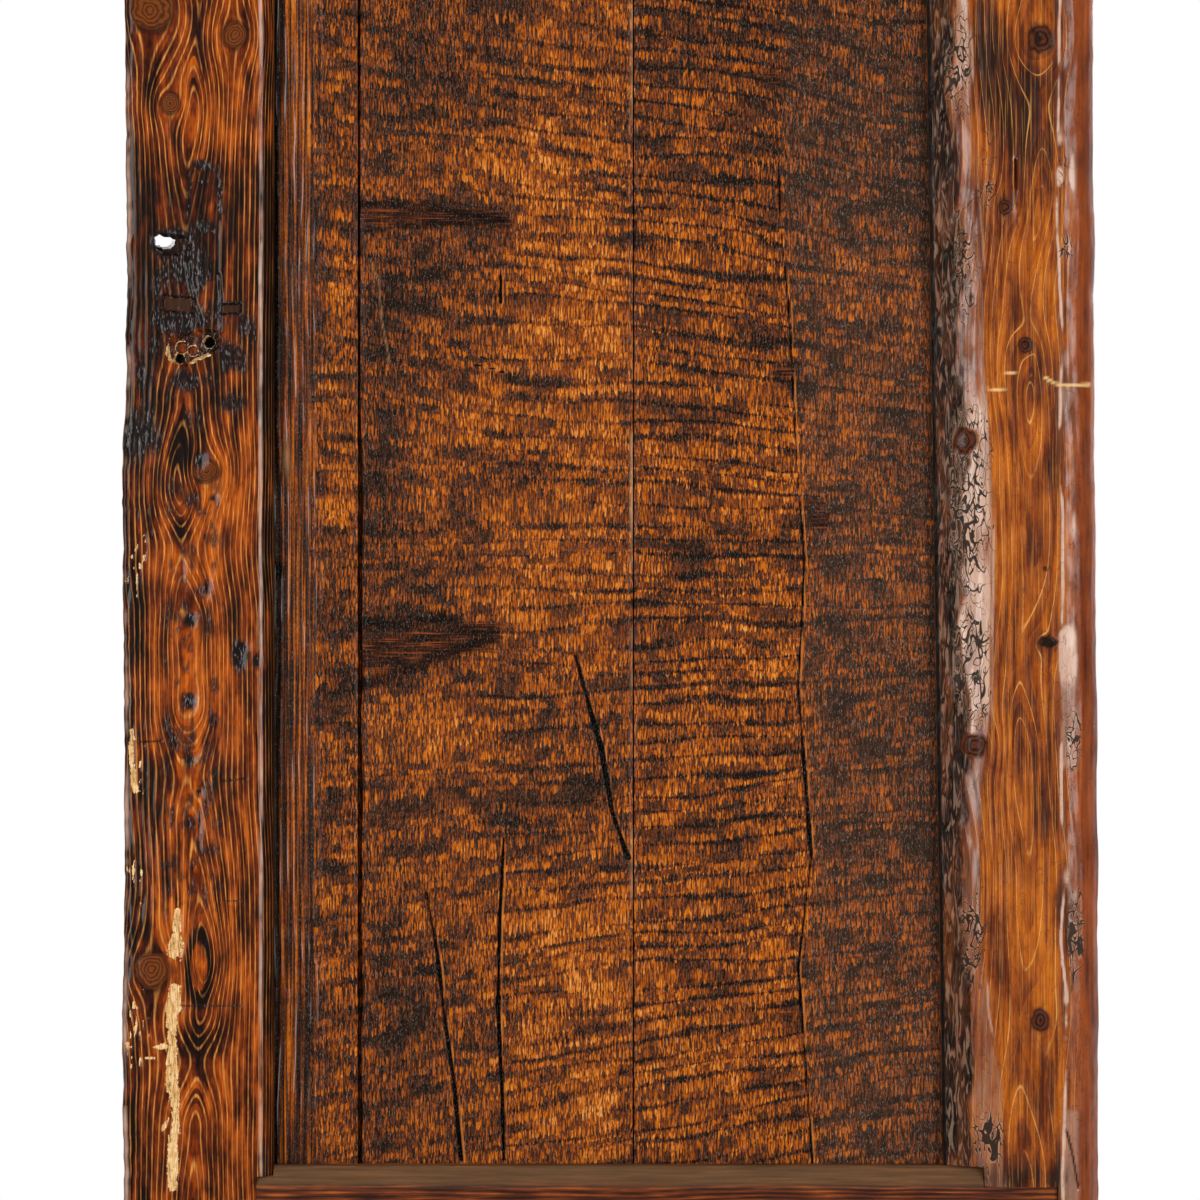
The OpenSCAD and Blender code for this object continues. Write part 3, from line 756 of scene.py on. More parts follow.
pocket = pocket_out(x, z) + 1.6 * noise(x / 4, z / 4, 31)
mouth = oblong(x, z, 49, 1114, 31, 19) + 2.2 * noise(x / 5, z / 5, 32)
slot_1 = slot_out(x, z, 56, 1054, 30, 15, -0.12) + 0.7 * noise(x / 4, z / 4, 33)
slot_2 = slot_out(x, z, 109, 1049.5, 19, 9) + 0.5 * noise(x / 4, z / 4, 34)
plate = np.where(z > 1177, np.hypot(x - 82, z - 1177) - 15.5, slot_out(x, z, 82, 1127, 31, 100))
gouge = strokes(x, z, GOUGES)
cuts = strokes(x, z, CUTS)
holes = np.full_like(x, 99.0)
bored = np.zeros_like(x)
for cx, cz, radius, depth in AUGERS:
    out = np.hypot(x - cx, z - cz) - radius
    holes = np.minimum(holes, out)
    bored = np.maximum(bored, depth * ramp(out, 0.4, -0.4))
rim = ramp(pocket, -3.5, -1.5) * ramp(pocket, 3.5, 1.2)
ring_rim = ramp(np.abs(holes - 0.4), 1.3, 0.5)
print("auger holes", len(AUGERS), "down to", round(float(bored.max())), "mm")

# %% [markdown]
# ## Lock stile: stain and raw wood
# Iron and soot stained the wood black round the lost fittings, and pitch bled from small pockets. Lower
# down a long splinter tore off to raw wood, and the lock edge is specked. Lumps and strokes place each
# stain and strip, and a random field frays them along the grain.

# %% Stain and raw wood of the lock stile
STAIN_SPOTS = [(52, 1118, 32, 13, 1.1), (58, 1038, 36, 18, 1.2), (110, 1000, 16, 20, 1.2),
               (18, 925, 24, 30, 1.3), (112, 956, 17, 11, 1), (70, 1088, 26, 34, 1.0),
               (84, 1132, 16, 12, 0.8), (66, 976, 34, 14, 0.9), (40, 1075, 18, 26, 0.7),
               (126, 1030, 14, 26, 0.75), (20, 985, 16, 26, 0.7), (80, 1193, 17, 7, 1),
               (68, 1172, 4, 16, 0.9), (98, 1155, 4, 36, 0.9), (72, 940, 14, 18, 0.75),
               (44, 958, 20, 20, 0.7), (30, 1014, 18, 18, 0.75), (94, 1045, 14, 26, 0.95),
               (30, 1330, 26, 12, 0.5)]
RAW_STRIP = [(9.5, [(52, 368), (51, 330), (50, 300), (53, 240), (51, 205), (51, 171)]),
             (8, [(49, 352), (49, 318)]), (6, [(55, 446), (54, 428), (53, 418)]),
             (11, [(53, 418), (50, 403)]), (5, [(45, 312), (34, 311)]), (2.6, [(48, 302), (24, 301)]),
             (4.5, [(46, 238), (42, 230)]), (4.5, [(9, 628), (8, 600), (12, 568)])]
SPECK_ZONES = [(14, 800, 16, 60, 1), (14, 330, 16, 90, 1), (12, 480, 14, 40, 0.9), (16, 590, 14, 40, 1)]

ragged = rough(x / 5, z / 14, 21)
tears = 0.35 * rough(x / 5, z / 9, 24) + 0.3 * noise(x / 12, z / 40, 25)
raw = np.clip(1.5 * strokes(x, z, RAW_STRIP) + 1.4 * tears - 0.15, 0, 1) * (strokes(x, z, RAW_STRIP) > 0)
specks = lumps(x, z, SPECK_ZONES) * ramp(rough(x / 3, z / 9, 22), 0.32, 0.5)
raw = np.maximum(raw, 0.9 * specks)
stain = lumps(x, z, STAIN_SPOTS)
stain = 0.95 * ramp(1.2 * stain + 0.5 * rough(x / 6, z / 26, 23), 0.44, 1.0)
outline = ramp(np.abs(plate), 3.5, 1) * ramp(z, 1105, 1140) * (0.65 + 0.5 * noise(x / 9, z / 14, 42))
stain = np.maximum(stain, 0.85 * outline)
mottled = ramp(rough(x / 7, z / 13, 41), 0.04, 0.36) * ramp(np.abs(x - 70), 36, 22) * ramp(z, 900, 860)
stain = np.maximum(stain, 0.7 * mottled * ramp(z, 400, 460))
print("raw wood on", int((raw > 0.5).sum()), "vertices, stain on", int((stain > 0.5).sum()))

# %% [markdown]
# ## Lock stile: relief
# Brushing sank the soft wood between the ring lines, and each scar is sunk to its own depth. The
# vertices are moved instead of only shaded, so the ridges and holes cast real shadows and the lock
# edge wanders.

# %% Relief of the lock stile
EDGE_LINE = [(0, 0), (160, 0.5), (330, -0.4), (500, 1.2), (620, 1.6), (760, 0.3), (860, 0), (900, -0.6),
             (965, 3.2), (1100, 4), (1220, 3), (1358, 2), (1600, 1), (2100, 0)]

brushed = 0.65 + 0.35 * noise(x / 20, z / 60, 7)
sunk = 0.28 * (1 - ramp(crest(ring), 0.2, 0.9)) * (1 - 0.8 * raw) * brushed
sunk += 0.5 * (1 + rough(x / 40, z / 160, 8)) + 0.1 * rough(x / 2.2, z / 30, 9)
sunk += 2.6 * np.minimum(pitch, 1) * (0.7 + 0.5 * rough(x / 4, z / 4, 10)) + 1.0 * raw
sunk += 0.3 * ramp(plate, 2, -2) + 22 * ramp(mouth, 0.7, -0.7) + 5 * ramp(slot_1, 0.7, -0.7)
sunk += 5 * ramp(slot_2, 0.7, -0.7) + 1.8 * gouge + 1.2 * cuts
sunk = np.maximum(sunk, 9 * ramp(pocket, 1.2, -1.6) + 1.6 * rough(x / 5, z / 5, 11) * (pocket < 0))
sunk = np.maximum(sunk, bored)
sunk += 0.55 * stain * ramp(rough(x / 2.6, z / 7, 12), 0, 0.6)
sunk -= 0.3 * ramp(knot, 1.1, 0.3)
edge_wear = ramp(x, 9, 0) * (1.2 + 1.6 * noise(x / 8, z / 45, 13) + 0.8 * noise(x / 5, z / 12, 14))
inner_wear = ramp(x, 132, 146) * (0.4 * noise(x / 9, z / 60, 15) + 0.4 * noise(x / 9, z / 14, 16))
sunk += edge_wear + inner_wear * ramp(z, 185, 200)
near_edge = ramp(x, 40, 0)
new_x = x + near_edge * (swell(z, EDGE_LINE) + 0.8 * along(z, 30, 17) + 0.5 * along(z, 8, 18))
move_to(lock_stile, new_x, d - face * sunk, z)
print("deepest scar of the lock stile", round(float((face * sunk).max()), 1), "mm")

# %% [markdown]
# ## Lock stile: paint
# Fields on the vertices tell the finish where a slot shows bare blocks, where painted highlights run
# along the arrises, how amber the wood is, where painted shade darkens the inner bevel, and where the
# lines are lost in scars.

# %% Paint on the lock stile
slots = highest([ramp(slot_1, -0.5, -2.5), ramp(slot_2, -0.5, -2), ramp(mouth, 0, -3)])
mouth_rim = ramp(mouth + 3 * noise(x / 7, z / 7, 37), 8, 2)
slot_rims = highest([ramp(np.abs(slot_1 - 0.8), 2.6, 1), ramp(np.abs(slot_2 - 0.8), 2.2, 1), mouth_rim])
shallow = np.maximum(lump(x, z, 59, 1011.2, 6, 6), lump(x, z, 69.8, 1007.7, 5, 5))
stain = np.maximum(stain, 0.95 * slot_rims) * (1 - 0.9 * slots)
stain = highest([stain, 1.1 * ramp(pitch, 0.3, 0.75), 0.9 * cuts, 0.8 * ramp(pocket, 0, -3),
                 ramp(holes, 0.6, -0.6), 0.55 * gouge * (1 - ragged)])
stain = stain * (1 - 0.85 * ramp(shallow, 0.4, 0.6))
rim_gold = 0.25 + 0.75 * np.maximum(lump(x, z, 82, 999, 16, 8), lump(x, z, 46, 1004, 8, 14))
rim_torn = 0.75 + 0.5 * noise(x / 5, z / 5, 35)
raw = highest([raw * ramp(pocket, -2, 0), 0.85 * rim * rim_gold * rim_torn, 0.62 * ring_rim])
raw = raw * ramp(holes, -0.8, 0.2)
eye = np.hypot((x - 77) / 8, (z - 391) / 23)
glow = 0.1 + 0.5 * lump(x, z, 62, 850, 7, 24) + 0.3 * lump(x, z, 70, 690, 40, 200) - 0.3 * ramp(x, 50, 5)
glow += 0.02 * ramp(eye, 1, 0.8) - 0.7 * ramp(eye, 1, 1.15) * ramp(eye, 2.1, 1.5)
glow -= 0.9 * lump(x, z, 62, 905, 13, 26) + 0.8 * lump(x, z, 60, 828, 12, 16)
glow -= 0.55 * lump(x, z, 75, 322, 17, 30) + 0.16 * ramp(z, 880, 960) * ramp(z, 1230, 1160)
# Painted shade darkens the inner bevel, and the print of the plate is a little darker
glow -= 0.36 * ramp(x, 138.5, 142) + 0.1 * ramp(plate, 1, -1.5)
glow += 0.14 * ramp(z, 1200, 1250) + 0.1 * ramp(z, 470, 420)
glow += 0.35 * lump(x, z, 105, 850, 30, 60) + 0.3 * lump(x, z, 60, 420, 20, 60)
# Painted highlights: a thin line along the crest of the inner bevel and a broken one along the lock edge
crest_x = LOCK_W - 11.5 + 0.7 * along(z, 45, 26)
rubbed = ramp(np.abs(x - crest_x), 2.1, 0.5) * (0.5 + 0.4 * along(z, 40, 27) + 0.3 * along(z, 8, 28))
lock_edge = ramp(np.abs(x - 3), 3.4, 0.6) * (0.25 + 0.7 * along(z, 55, 29) + 0.35 * along(z, 8, 38))
rubbed = np.clip(np.maximum(rubbed * ramp(z, 178, 186), lock_edge), 0, 0.85)
scarred = ramp(z, 965, 1010) * ramp(z, 1200, 1150) * ramp(x, 132, 108)
scarred *= 0.75 + 0.5 * rough(x / 14, z / 40, 19)
scarred = highest([scarred, ramp(plate, 1, -1.5), ramp(eye, 1.1, 0.95)])
paint(lock_stile, ring=ring, knot=knot + 2 * (1 - face), stain=np.clip(stain, 0, 1) * face,
      raw=np.clip(raw, 0, 1) * face, glow=glow, block=slots * face, scarred=np.clip(scarred, 0, 1),
      rubbed=rubbed * ramp(d, 40, 46))
finished(lock_stile, pine)

# %% [markdown]
# ## Finish: rough-sawn and stained boards
# The boards came off a frame saw and were never planed. The saw left ribs across the grain, torn
# fibres stand up in short dashes along it, and stain lies dark in the hollows and is worn off the high
# spots. The nodes mix both patterns, and fields on the vertices say where a board is darker, knotty
# or cracked and how the saw's ribs lean.

# %% Tone of rough-sawn pine
# Millimetres between two strokes of the saw, and between two strokes that bit deep
STROKE, DEEP_STROKE = 8.0, 18.0


def sawn_tone(net, held, threads):
    """Tone of a sawn face, from dark hollows to bright high spots."""
    place = net.add("ShaderNodeSeparateXYZ", {"Vector": net.spot}).outputs
    across, high = place["X"], place["Z"]
    grit = net.noise(1.4, 4, 4.2, 1)
    mottle = net.noise(50, 60, 60, 3, Roughness=0.6)
    # The saw moved on by some millimetres a stroke, so the torn fibres stand in rows across the board
    drift_x = net.paces(across, 240)
    drift = net.noise_by({"X": drift_x, "Y": net.times(held["saw"], 1 / 45.0)}, 3)
    row_phase = net.times(held["saw"], 1 / STROKE)
    row_shaken = net.weighed(row_phase, (drift, 4.0), (threads, 2.2), (grit, 0.6))
    row_count = net.math("FLOOR", row_shaken)
    # A board without ribs has long fibres instead of rows
    long_fibre = net.paces(high, 2500)
    in_rows = net.math("GREATER_THAN", held["ribbed"], 0.05)
    row = net.between(in_rows, long_fibre, row_count)
    row_edge = net.wave(row_shaken)
    dash_x = net.paces(across, 1.8)
    dash_row = net.times(net.times(row, in_rows), 7.3)
    dash_share = net.between(in_rows, 1 / (120 * MM), 1 / (24 * MM))
    dash_z = net.weighed(dash_row, (high, dash_share))
    dash_noise = net.noise_by({"X": dash_x, "Y": dash_z}, 1)
    dashes = net.eased(dash_noise, 0.36, 0.62)
    # Each row has a tone of its own, which changes along it
    tone_x = net.times(across, net.between(in_rows, 1 / (8 * MM), 1 / (38 * MM)))
    row_noise = net.noise_by({"X": tone_x, "Y": net.times(row, 5.1)}, 2)
    rows = net.eased(row_noise, 0.32, 0.58)
    # Now and then a stroke bit deeper and left a dark band, which is wider and narrower along its way
    bite_phase = net.weighed(net.times(held["saw"], 1 / DEEP_STROKE), (drift, 2.5))
    bite_key = net.times(net.math("ROUND", bite_phase), 3.7)
    bite_own = net.noise_by({"X": net.paces(across, 130), "Y": bite_key}, 2)
    bite_off = net.weighed(net.wave(bite_phase), (grit, 0.5), (bite_own, -0.8))
    bites = net.spread(bite_off, 0.02, -0.16)
    bite_dark = net.times(bites, held["ribbed"])
    gap_dark = net.times(net.spread(row_edge, 0.16, 0.0), in_rows)
    # Tone is a sum of all of these; the dashes fade in dark rows
    dash_tone = net.times(dashes, net.spread(rows, to_low=0.22, to_high=0.5))
    tone_sum = net.weighed(dash_tone, (rows, 0.16), (grit, 0.55), (threads, 0.4), (mottle, 0.28),
                           (held["dark"], -0.24), (bite_dark, -0.42), (gap_dark, -0.12))
    return net.math("SUBTRACT", tone_sum, 0.52)


# %% [markdown]
# ## Finish: colours of the boards
# The tone becomes a colour from near black to pale amber. Dust, feathered knots, cracks, black marks
# and painted shadow, combed ridges with painted highlights, and painted glints then lie over it, each
# where a field on the vertices asks for it.

# %% Rough-sawn pine


def sawn_pine(name):
    """Rough-sawn softwood: dashes of torn fibre, crossed by dark saw ribs, under a thin varnish."""
    material, net = new_material(name)
    held = net.held("saw", "ribbed", "dark", "black", "feather", "light", "dusty", "crack", "crack_edge",
                    "comb", "combed", "glint")
    threads = net.noise(2.6, 9, 60, 2)
    tone = sawn_tone(net, held, threads)
    body = net.colours(tone, (0.0, "#19100A"), (1.0, "#E09A4C"), (0.22, "#3A2317"), (0.42, "#683112"),
                       (0.6, "#9C4B0A"), (0.78, "#C2690F"))
    veiled = net.mix(net.times(held["dusty"], 0.11), body, "#6E5544")
    streaks = net.noise(45, 6, 1.8, 2)
    feather_colour = net.colours(streaks, (0.38, "#0E0907"), (0.72, "#96451A"), (0.55, "#2E160C"))
    feathered = net.mix(held["feather"], veiled, feather_colour)
    # Cracks: black in the middle, with a painted highlight along one side
    edge_near = net.spread(held["crack_edge"], 1.0, 0.5)
    edge_part = net.times(edge_near, net.spread(threads, 0.44, 0.56, 0, 0.75))
    lit = net.mix(held["light"], net.mix(edge_part, feathered, "#C0702C"), "#C58F5E")
    # Black: feathered knot edges, holes, a painted shadow along a board's edge, and the middle of cracks
    sooty = net.math("MAXIMUM", held["black"], net.spread(held["crack"], 1.0, 0.65))
    sooted = net.mix(sooty, lit, "#0B0807")
    # Ridges combed out by wear: black grooves between crests, with painted highlights along the crests
    comb_wave = net.wave(held["comb"])
    groove_dark = net.times(net.spread(comb_wave, 0.26, 0.08), held["combed"])
    grooved = net.mix(groove_dark, sooted, "#120C0A")
    crest_shine = net.times(net.spread(comb_wave, 0.4, 0.49), held["glint"])
    combed = net.mix(crest_shine, grooved, "#B5AEB0")
    # Painted glints: grey-brown flecks in the torn fibres, strongest where the board is dusty
    fleck_part = net.spread(net.noise(1.0, 4, 2.6, 1), 0.6, 0.74, 0, 0.5)
    fleck_held = net.spread(held["dusty"], to_low=0.9, to_high=1.2)
    skin = net.mix(net.math("MULTIPLY", fleck_part, fleck_held, use_clamp=True), combed, "#86796F")
    net.surface(skin, tone, 0.6, 0.8, {"Roughness": 0.5, "Specular IOR Level": 0.04,
                                       "Coat Weight": 0.06, "Coat Roughness": 0.15})
    return material


# Softwood of the boards, straight from the saw, stained and thinly varnished
sawn = sawn_pine("rough_sawn_stained_pine")
print(sawn.name, len(sawn.node_tree.nodes), "nodes")

# %% [markdown]
# ## The three boards
# Each board is a slab with a half lap along its joints, its top cut to the arc of its seat under the
# head. One function makes the plain slab. Relief is slight, but cracks, torn knots and worn arrises are
# cut into the mesh.

# %% Boards, plain
LAP_W, HALF_T = 12, BOARD_T / 2
BOARD_SPRING = SPRING - 60
board_level = steps((BOARD_FOOT + FIT, FINE_HIGH, 3.3), (FINE_HIGH, BOARD_SPRING, 11),
                    (BOARD_SPRING, LEAF_H, 12))


def board(name, left, right, lap_left, lap_right, column):
    """Plain board between two edges, with a half lap over its left neighbour or under its right one."""
    rows = len(board_level)
    corner = np.zeros((rows, 8, 2))
    corner[:, 0, 0] = corner[:, 1, 0] = left + LAP_W * lap_left
    corner[:, 1, 1] = corner[:, 2, 1] = HALF_T + FIT
    corner[:, 2, 0] = corner[:, 3, 0] = left
    corner[:, 3, 1] = corner[:, 4, 1] = BOARD_T
    corner[:, 4, 0] = corner[:, 5, 0] = right
    corner[:, 5, 1] = corner[:, 6, 1] = HALF_T
    corner[:, 6, 0] = corner[:, 7, 0] = right + LAP_W * lap_right
    width = np.mean(right - left)
    skin = rolled(corner, [1, 1, 2, round(width / column), 2, 1, 1, max(4, round(width / 18))])
    x, d = skin[..., 0], skin[..., 1]
    return wrapped(name, x, d, arched(board_level[:, None], x, SEAT_R - FIT, BOARD_SPRING))


narrow_low, narrow_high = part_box("narrow_board")
middle_low, middle_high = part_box("middle_board")
heart_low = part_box("heart_board")[0]
NARROW = (narrow_low.x - LEFT) / MM, (narrow_high.x - LEFT) / MM - LAP_W
MIDDLE = (middle_low.x - LEFT) / MM, (middle_high.x - LEFT) / MM - LAP_W
HEART = (heart_low.x - LEFT) / MM
whole = np.ones(len(board_level))
narrow_board = board("old_narrow_board", NARROW[0] * whole, NARROW[1] * whole, 0, 1, 1.5)
middle_board = board("old_middle_board", MIDDLE[0] * whole, MIDDLE[1] * whole, 1, 1, 1.5)
heart_board = board("old_heart_board", HEART * whole, seam(board_level) + REBATE_W - FIT, 1, 0, 1.7)

# %% [markdown]
# ## Wear that all boards share
# The saw leaned more or less as it went up a board, so its marks do too. All boards have slight relief
# from it, worn arrises, and cracks that are black in the middle with a painted highlight along one side.
# Functions make these, so that each board below is only what is its own.

# %% Wear of any board
SAW_LEAN = [(0, -0.12), (260, -0.15), (480, -0.08), (640, -0.06), (760, 0), (960, 0.1), (1200, 0.13),
            (2100, 0.1)]


def sawn_face(x, z, seed):
    """Saw coordinate and slight relief that all boards share."""
    bend = 7 * noise(x / 190, z / 140, seed) + 2 * noise(x / 60, z / 60, seed + 1)
    saw = z + (x - 400) * swell(z, SAW_LEAN) + bend
    hollow = 0.35 * noise(x / 70, saw / 11, seed + 2) + 0.3 * noise(x / 25, saw / 6, seed + 3)
    return saw, 0.8 + hollow + 0.3 * rough(x / 3, z / 16, seed + 4)


def crack_fields(x, z, table, seed):
    """Distances from cracks and from the lit wood right of them, as shares of their half widths."""
    torn = 0.5 * noise(x / 40, z / 35, seed)
    near = np.full_like(x, 20.0)
    beside = np.full_like(x, 20.0)
    for half_width, points in table:
        near = np.minimum(near, away(x, z, points) / half_width + torn)
        beside = np.minimum(beside, away(x - half_width - 1.0, z, points) / 1.4)
    return near, beside + torn


def worn_edge(x, left, right, z, seed):
    """Arris worn off both long edges of a board's face."""
    near = np.maximum(ramp(x, left + 4, left), ramp(x, right - 4, right))
    return near * (1.6 + 0.8 * noise(x / 9, z / 50, seed) + 0.5 * noise(x / 9, z / 13, seed + 1))


# %% [markdown]
# ## Wear on the middle board
# Two feathered spike knots start at the left edge, where the saw ran along a branch, and several cracks
# follow the grain. The board moved a little, so its left joint stands open in the lower half.

# %% Middle board
FEATHERS = [(26, [(236, 702), (280, 706), (330, 716), (366, 722)]),
            (15, [(236, 1146), (300, 1146), (378, 1140)])]
FEATHER_EDGES = [(12, [(236, 735), (320, 736), (368, 722)]), (12, [(236, 670), (300, 694), (368, 721)]),
                 (9, [(360, 716), (368, 728)]), (7, [(236, 1158), (300, 1156), (378, 1141)]),
                 (6, [(236, 1130), (310, 1137), (370, 1140)])]
BOARD_CRACKS = [(2.6, [(453, 703), (466, 655), (480, 605), (490, 545), (506, 498)]),
                (2.2, [(303, 463), (314, 400), (322, 330), (331, 270), (338, 193)]),
                (1.8, [(381, 518), (377, 440), (375, 348), (379, 270), (381, 193)]),
                (1.6, [(378, 1086), (378, 1058)]), (1.4, [(348, 996), (368, 992), (388, 985)])]
SCRATCHES = [(1.0, [(247, 1100), (255, 1078), (258, 1040), (266, 998)])]
MIDDLE_DARK = [(300, 1080, 60, 40, 0.8), (395, 885, 45, 28, 0.9), (403, 528, 40, 32, 1),
               (280, 770, 50, 40, 0.5), (260, 1010, 30, 60, 0.6), (330, 1300, 90, 60, 0.7),
               (470, 560, 45, 40, 0.6), (270, 350, 45, 60, 0.6), (330, 230, 40, 40, 0.5),
               (440, 640, 50, 25, 0.5), (250, 860, 25, 90, 0.5)]
MIDDLE_LIT = [(460, 1020, 60, 150, 0.8), (345, 940, 40, 40, 0.6), (460, 800, 60, 60, 0.6),
              (300, 620, 60, 30, 0.5), (440, 380, 60, 120, 0.6), (420, 1200, 60, 60, 0.6),
              (380, 730, 30, 30, 0.6), (470, 250, 40, 60, 0.6)]
EDGE_CHIPS = [(236, 665, 7, 40, 1), (236, 590, 5, 60, 0.6)]

x, d, z = places(middle_board)
face = ramp(d, 22, 28)
saw, sunk = sawn_face(x, z, 40)
feather = strokes(x, z, FEATHERS)
feather = ramp(feather + 0.25 * rough(x / 40, z / 4, 45), 0.12, 0.7)
sooty = ramp(strokes(x, z, FEATHER_EDGES) + 0.25 * rough(x / 10, z / 8, 48), 0.1, 0.8)
cracks = strokes(x, z, BOARD_CRACKS)
crack, crack_edge = crack_fields(x, z, BOARD_CRACKS, 39)
scratch = strokes(x, z, SCRATCHES)
chips = lumps(x, z, EDGE_CHIPS)
sunk += worn_edge(x, MIDDLE[0], MIDDLE[1], z, 46) + 3.2 * ramp(cracks, 0, 0.7) - 0.8 * feather + 3 * chips
sunk += 0.5 * scratch
shrunk = 1.7 * ramp(z, 980, 900) * (1 + 0.6 * along(z, 40, 49))
edge_shift = 1.4 * ramp(x, MIDDLE[1] - 6, MIDDLE[1]) + shrunk * ramp(x, MIDDLE[0] + 6, MIDDLE[0])
move_to(middle_board, x + edge_shift * (d > 16), d - face * sunk, z)
dark = lumps(x, z, MIDDLE_DARK) - 0.8 * lumps(x, z, MIDDLE_LIT) + 0.35 * ramp(x, 420, 250) - 0.1
# Painted highlight along the right arris, strongest in one stretch; pale scratches join it
edge_light = 0.05 + 0.7 * ramp(z, 770, 800) * ramp(z, 940, 910) + 1.1 * along(z, 34, 47, rough)
light = np.maximum(edge_light * ramp(x, MIDDLE[1] - 2, MIDDLE[1] - 0.8), 0.45 * scratch)
light = np.clip(light, 0, 0.9)
paint(middle_board, saw=saw, ribbed=0.25 + 0.4 * ramp(x, 330, 410), dark=dark, black=0.85 * sooty * face,
      feather=0.9 * feather * face, light=light * face, dusty=0.12 + 0 * x, crack=crack,
      crack_edge=crack_edge)
finished(middle_board, sawn)

# %% [markdown]
# ## Wear on the heart board
# This board holds the heart of its tree, so a long check runs down its middle. The wood beyond it took
# more stain and is dusty.

# %% Heart board
CRACK_LINE = [(658, 1200), (660, 1133), (668, 1058), (675, 918), (684, 798), (678, 668), (691, 498),
              (678, 388), (692, 193), (690, 150)]
HEART_CRACK = [(0.9, CRACK_LINE[:6]), (2.0, CRACK_LINE[5:7]), (1.3, CRACK_LINE[6:])]
HEART_DARK = [(665, 988, 18, 9, 1.2), (700, 838, 14, 14, 1.3), (695, 855, 24, 8, 0.9),
              (650, 1283, 20, 16, 0.9), (668, 338, 22, 16, 0.9), (678, 238, 20, 16, 0.7),
              (560, 940, 60, 20, 0.4), (560, 810, 60, 12, 0.7)]

x, d, z = places(heart_board)
face = ramp(d, 22, 28)
saw, sunk = sawn_face(x, z, 50)
crack_x = swell(z, [(cz, cx) for cx, cz in CRACK_LINE])
crack, crack_edge = crack_fields(x, z, HEART_CRACK, 59)
cracks = strokes(x, z, HEART_CRACK)
beyond = ramp(x + 5 * rough(x / 20, z / 30, 57), crack_x - 3, crack_x + 12) * ramp(z, 1500, 1200)
sunk += worn_edge(x, HEART, HEART + 600, z, 56) + 2.6 * ramp(cracks, 0, 0.7) + 0.5 * beyond
spots = lumps(x, z, HEART_DARK)
sunk -= 0.9 * spots
move_to(heart_board, x, d - face * sunk, z)
dark = spots + 0.42 * beyond + 0.4 * ramp(x, 780, 830) - 0.15 * (1 - beyond)
dark += 0.25 * noise(x / 60, z / 90, 58) + 0.45 * ramp(z, 1080, 1200)
paint(heart_board, saw=saw, ribbed=0.95 - 0.5 * beyond, dark=dark, black=0 * x,
      feather=0.75 * ramp(spots, 0.5, 1), light=0 * x, dusty=0.95 * beyond, crack=crack,
      crack_edge=crack_edge + 3 * ramp(z, 1100, 1160))
finished(heart_board, sawn)

# %% [markdown]
# ## Wear on the narrow board
# Next to the lock stile the soft wood is worn out between the rings, and the ridges left stand like the
# teeth of a comb. A second ring coordinate across the board draws them.

# %% Narrow board
x, d, z = places(narrow_board)
face = ramp(d, 22, 28)
saw, sunk = sawn_face(x, z, 60)
comb = ramp(x, 215, 160)
comb_ring = (x + 3 * noise(x / 30, z / 120, 61) + 0.8 * noise(x / 9, z / 30, 65)) / 7.2
comb_dip = (1 - ramp(crest(comb_ring), 0.3, 0.9)) * comb
# Painted highlights along the crests of the combed ridges
comb_shine = 0.6 * ramp(x, 205, 180) * ramp(rough(x / 9, z / 45, 64), 0.05, 0.45)
hole = lump(x, z, 154, 788, 5, 6)
chip = lump(x, z, 162, 900, 3, 16)
sunk += 1.6 * comb_dip + 1.5 * comb * (1 + noise(x / 14, z / 50, 62)) + 6 * hole
sunk += worn_edge(x, 0, NARROW[1], z, 63)
move_to(narrow_board, x, d - face * sunk, z)
dark = 0.15 + 0.1 * comb - 0.35 * lump(x, z, 215, 950, 25, 120) + 0.5 * chip
dark += 0.3 * noise(x / 70, saw / 8, 66)
ribbed = 0.3 * ramp(x + 9 * rough(x / 20, z / 30, 67), 186, 200)
# Black in the hole, and a painted shadow along the left edge where the board meets the lock stile
black = np.clip(1.4 * hole + 0.95 * ramp(x, 157, 153), 0, 1)
no_crack = 9 + 0 * x
paint(narrow_board, saw=saw, ribbed=ribbed, dark=dark, black=black * face, feather=0 * x,
      light=0.5 * chip * face, dusty=0 * x, crack=no_crack, crack_edge=no_crack, comb=comb_ring,
      combed=0.62 * ramp(x, 222, 178) * face, glint=comb_shine * face)
finished(narrow_board, sawn)

# %% [markdown]
# ## Finish: waney slab
# The hinge stile is a slab with the round of the trunk left on it. Its sawn face is smooth amber wood
# with pale contour lines. Along the wane, strands of inner bark cling over pale sapwood that beetles
# bored.

# %% Bark and galleries


def bark_strands(net, clouds):
    """Height and colour of the strands of inner bark."""
    strands = net.spread(net.off(net.noise(4.5, 9, 26, 2, Distortion=0.8), 0.5), 0, 0.13)
    bark_brown = net.colours(strands, (0.0, "#0B0806"), (1.0, "#765D4C"), (0.3, "#1D140F"),
                             (0.7, "#422E22"))
    red_held = net.times(net.spread(clouds, 0.5, 0.62, 0, 0.55), strands)
    return strands, net.mix(red_held, bark_brown, "#8A4A2C")


def gallery_edge(net, bored):
    """Signed distance from galleries, which are winding level lines of two random fields."""
    field_1 = net.noise(7, 30, 15, 0, Distortion=1.3)
    field_2 = net.noise(9, 30, 22, 0, Distortion=0.7, shift=(3.3, 7.7, 1.9))
    off_1 = net.off(field_1, 0.5)
    off_2 = net.off(field_2, 0.52)
    off = net.math("MINIMUM", off_1, off_2)
    return net.math("SUBTRACT", off, net.spread(bored, 0.3, 0.9, 0, 0.044))


# %% [markdown]
# ## Finish: amber face of the slab
# The face is amber with pale contour lines, and it reddens towards the hinge edge. Fine fibres lighten
# and darken it along the grain.

# %% Amber face


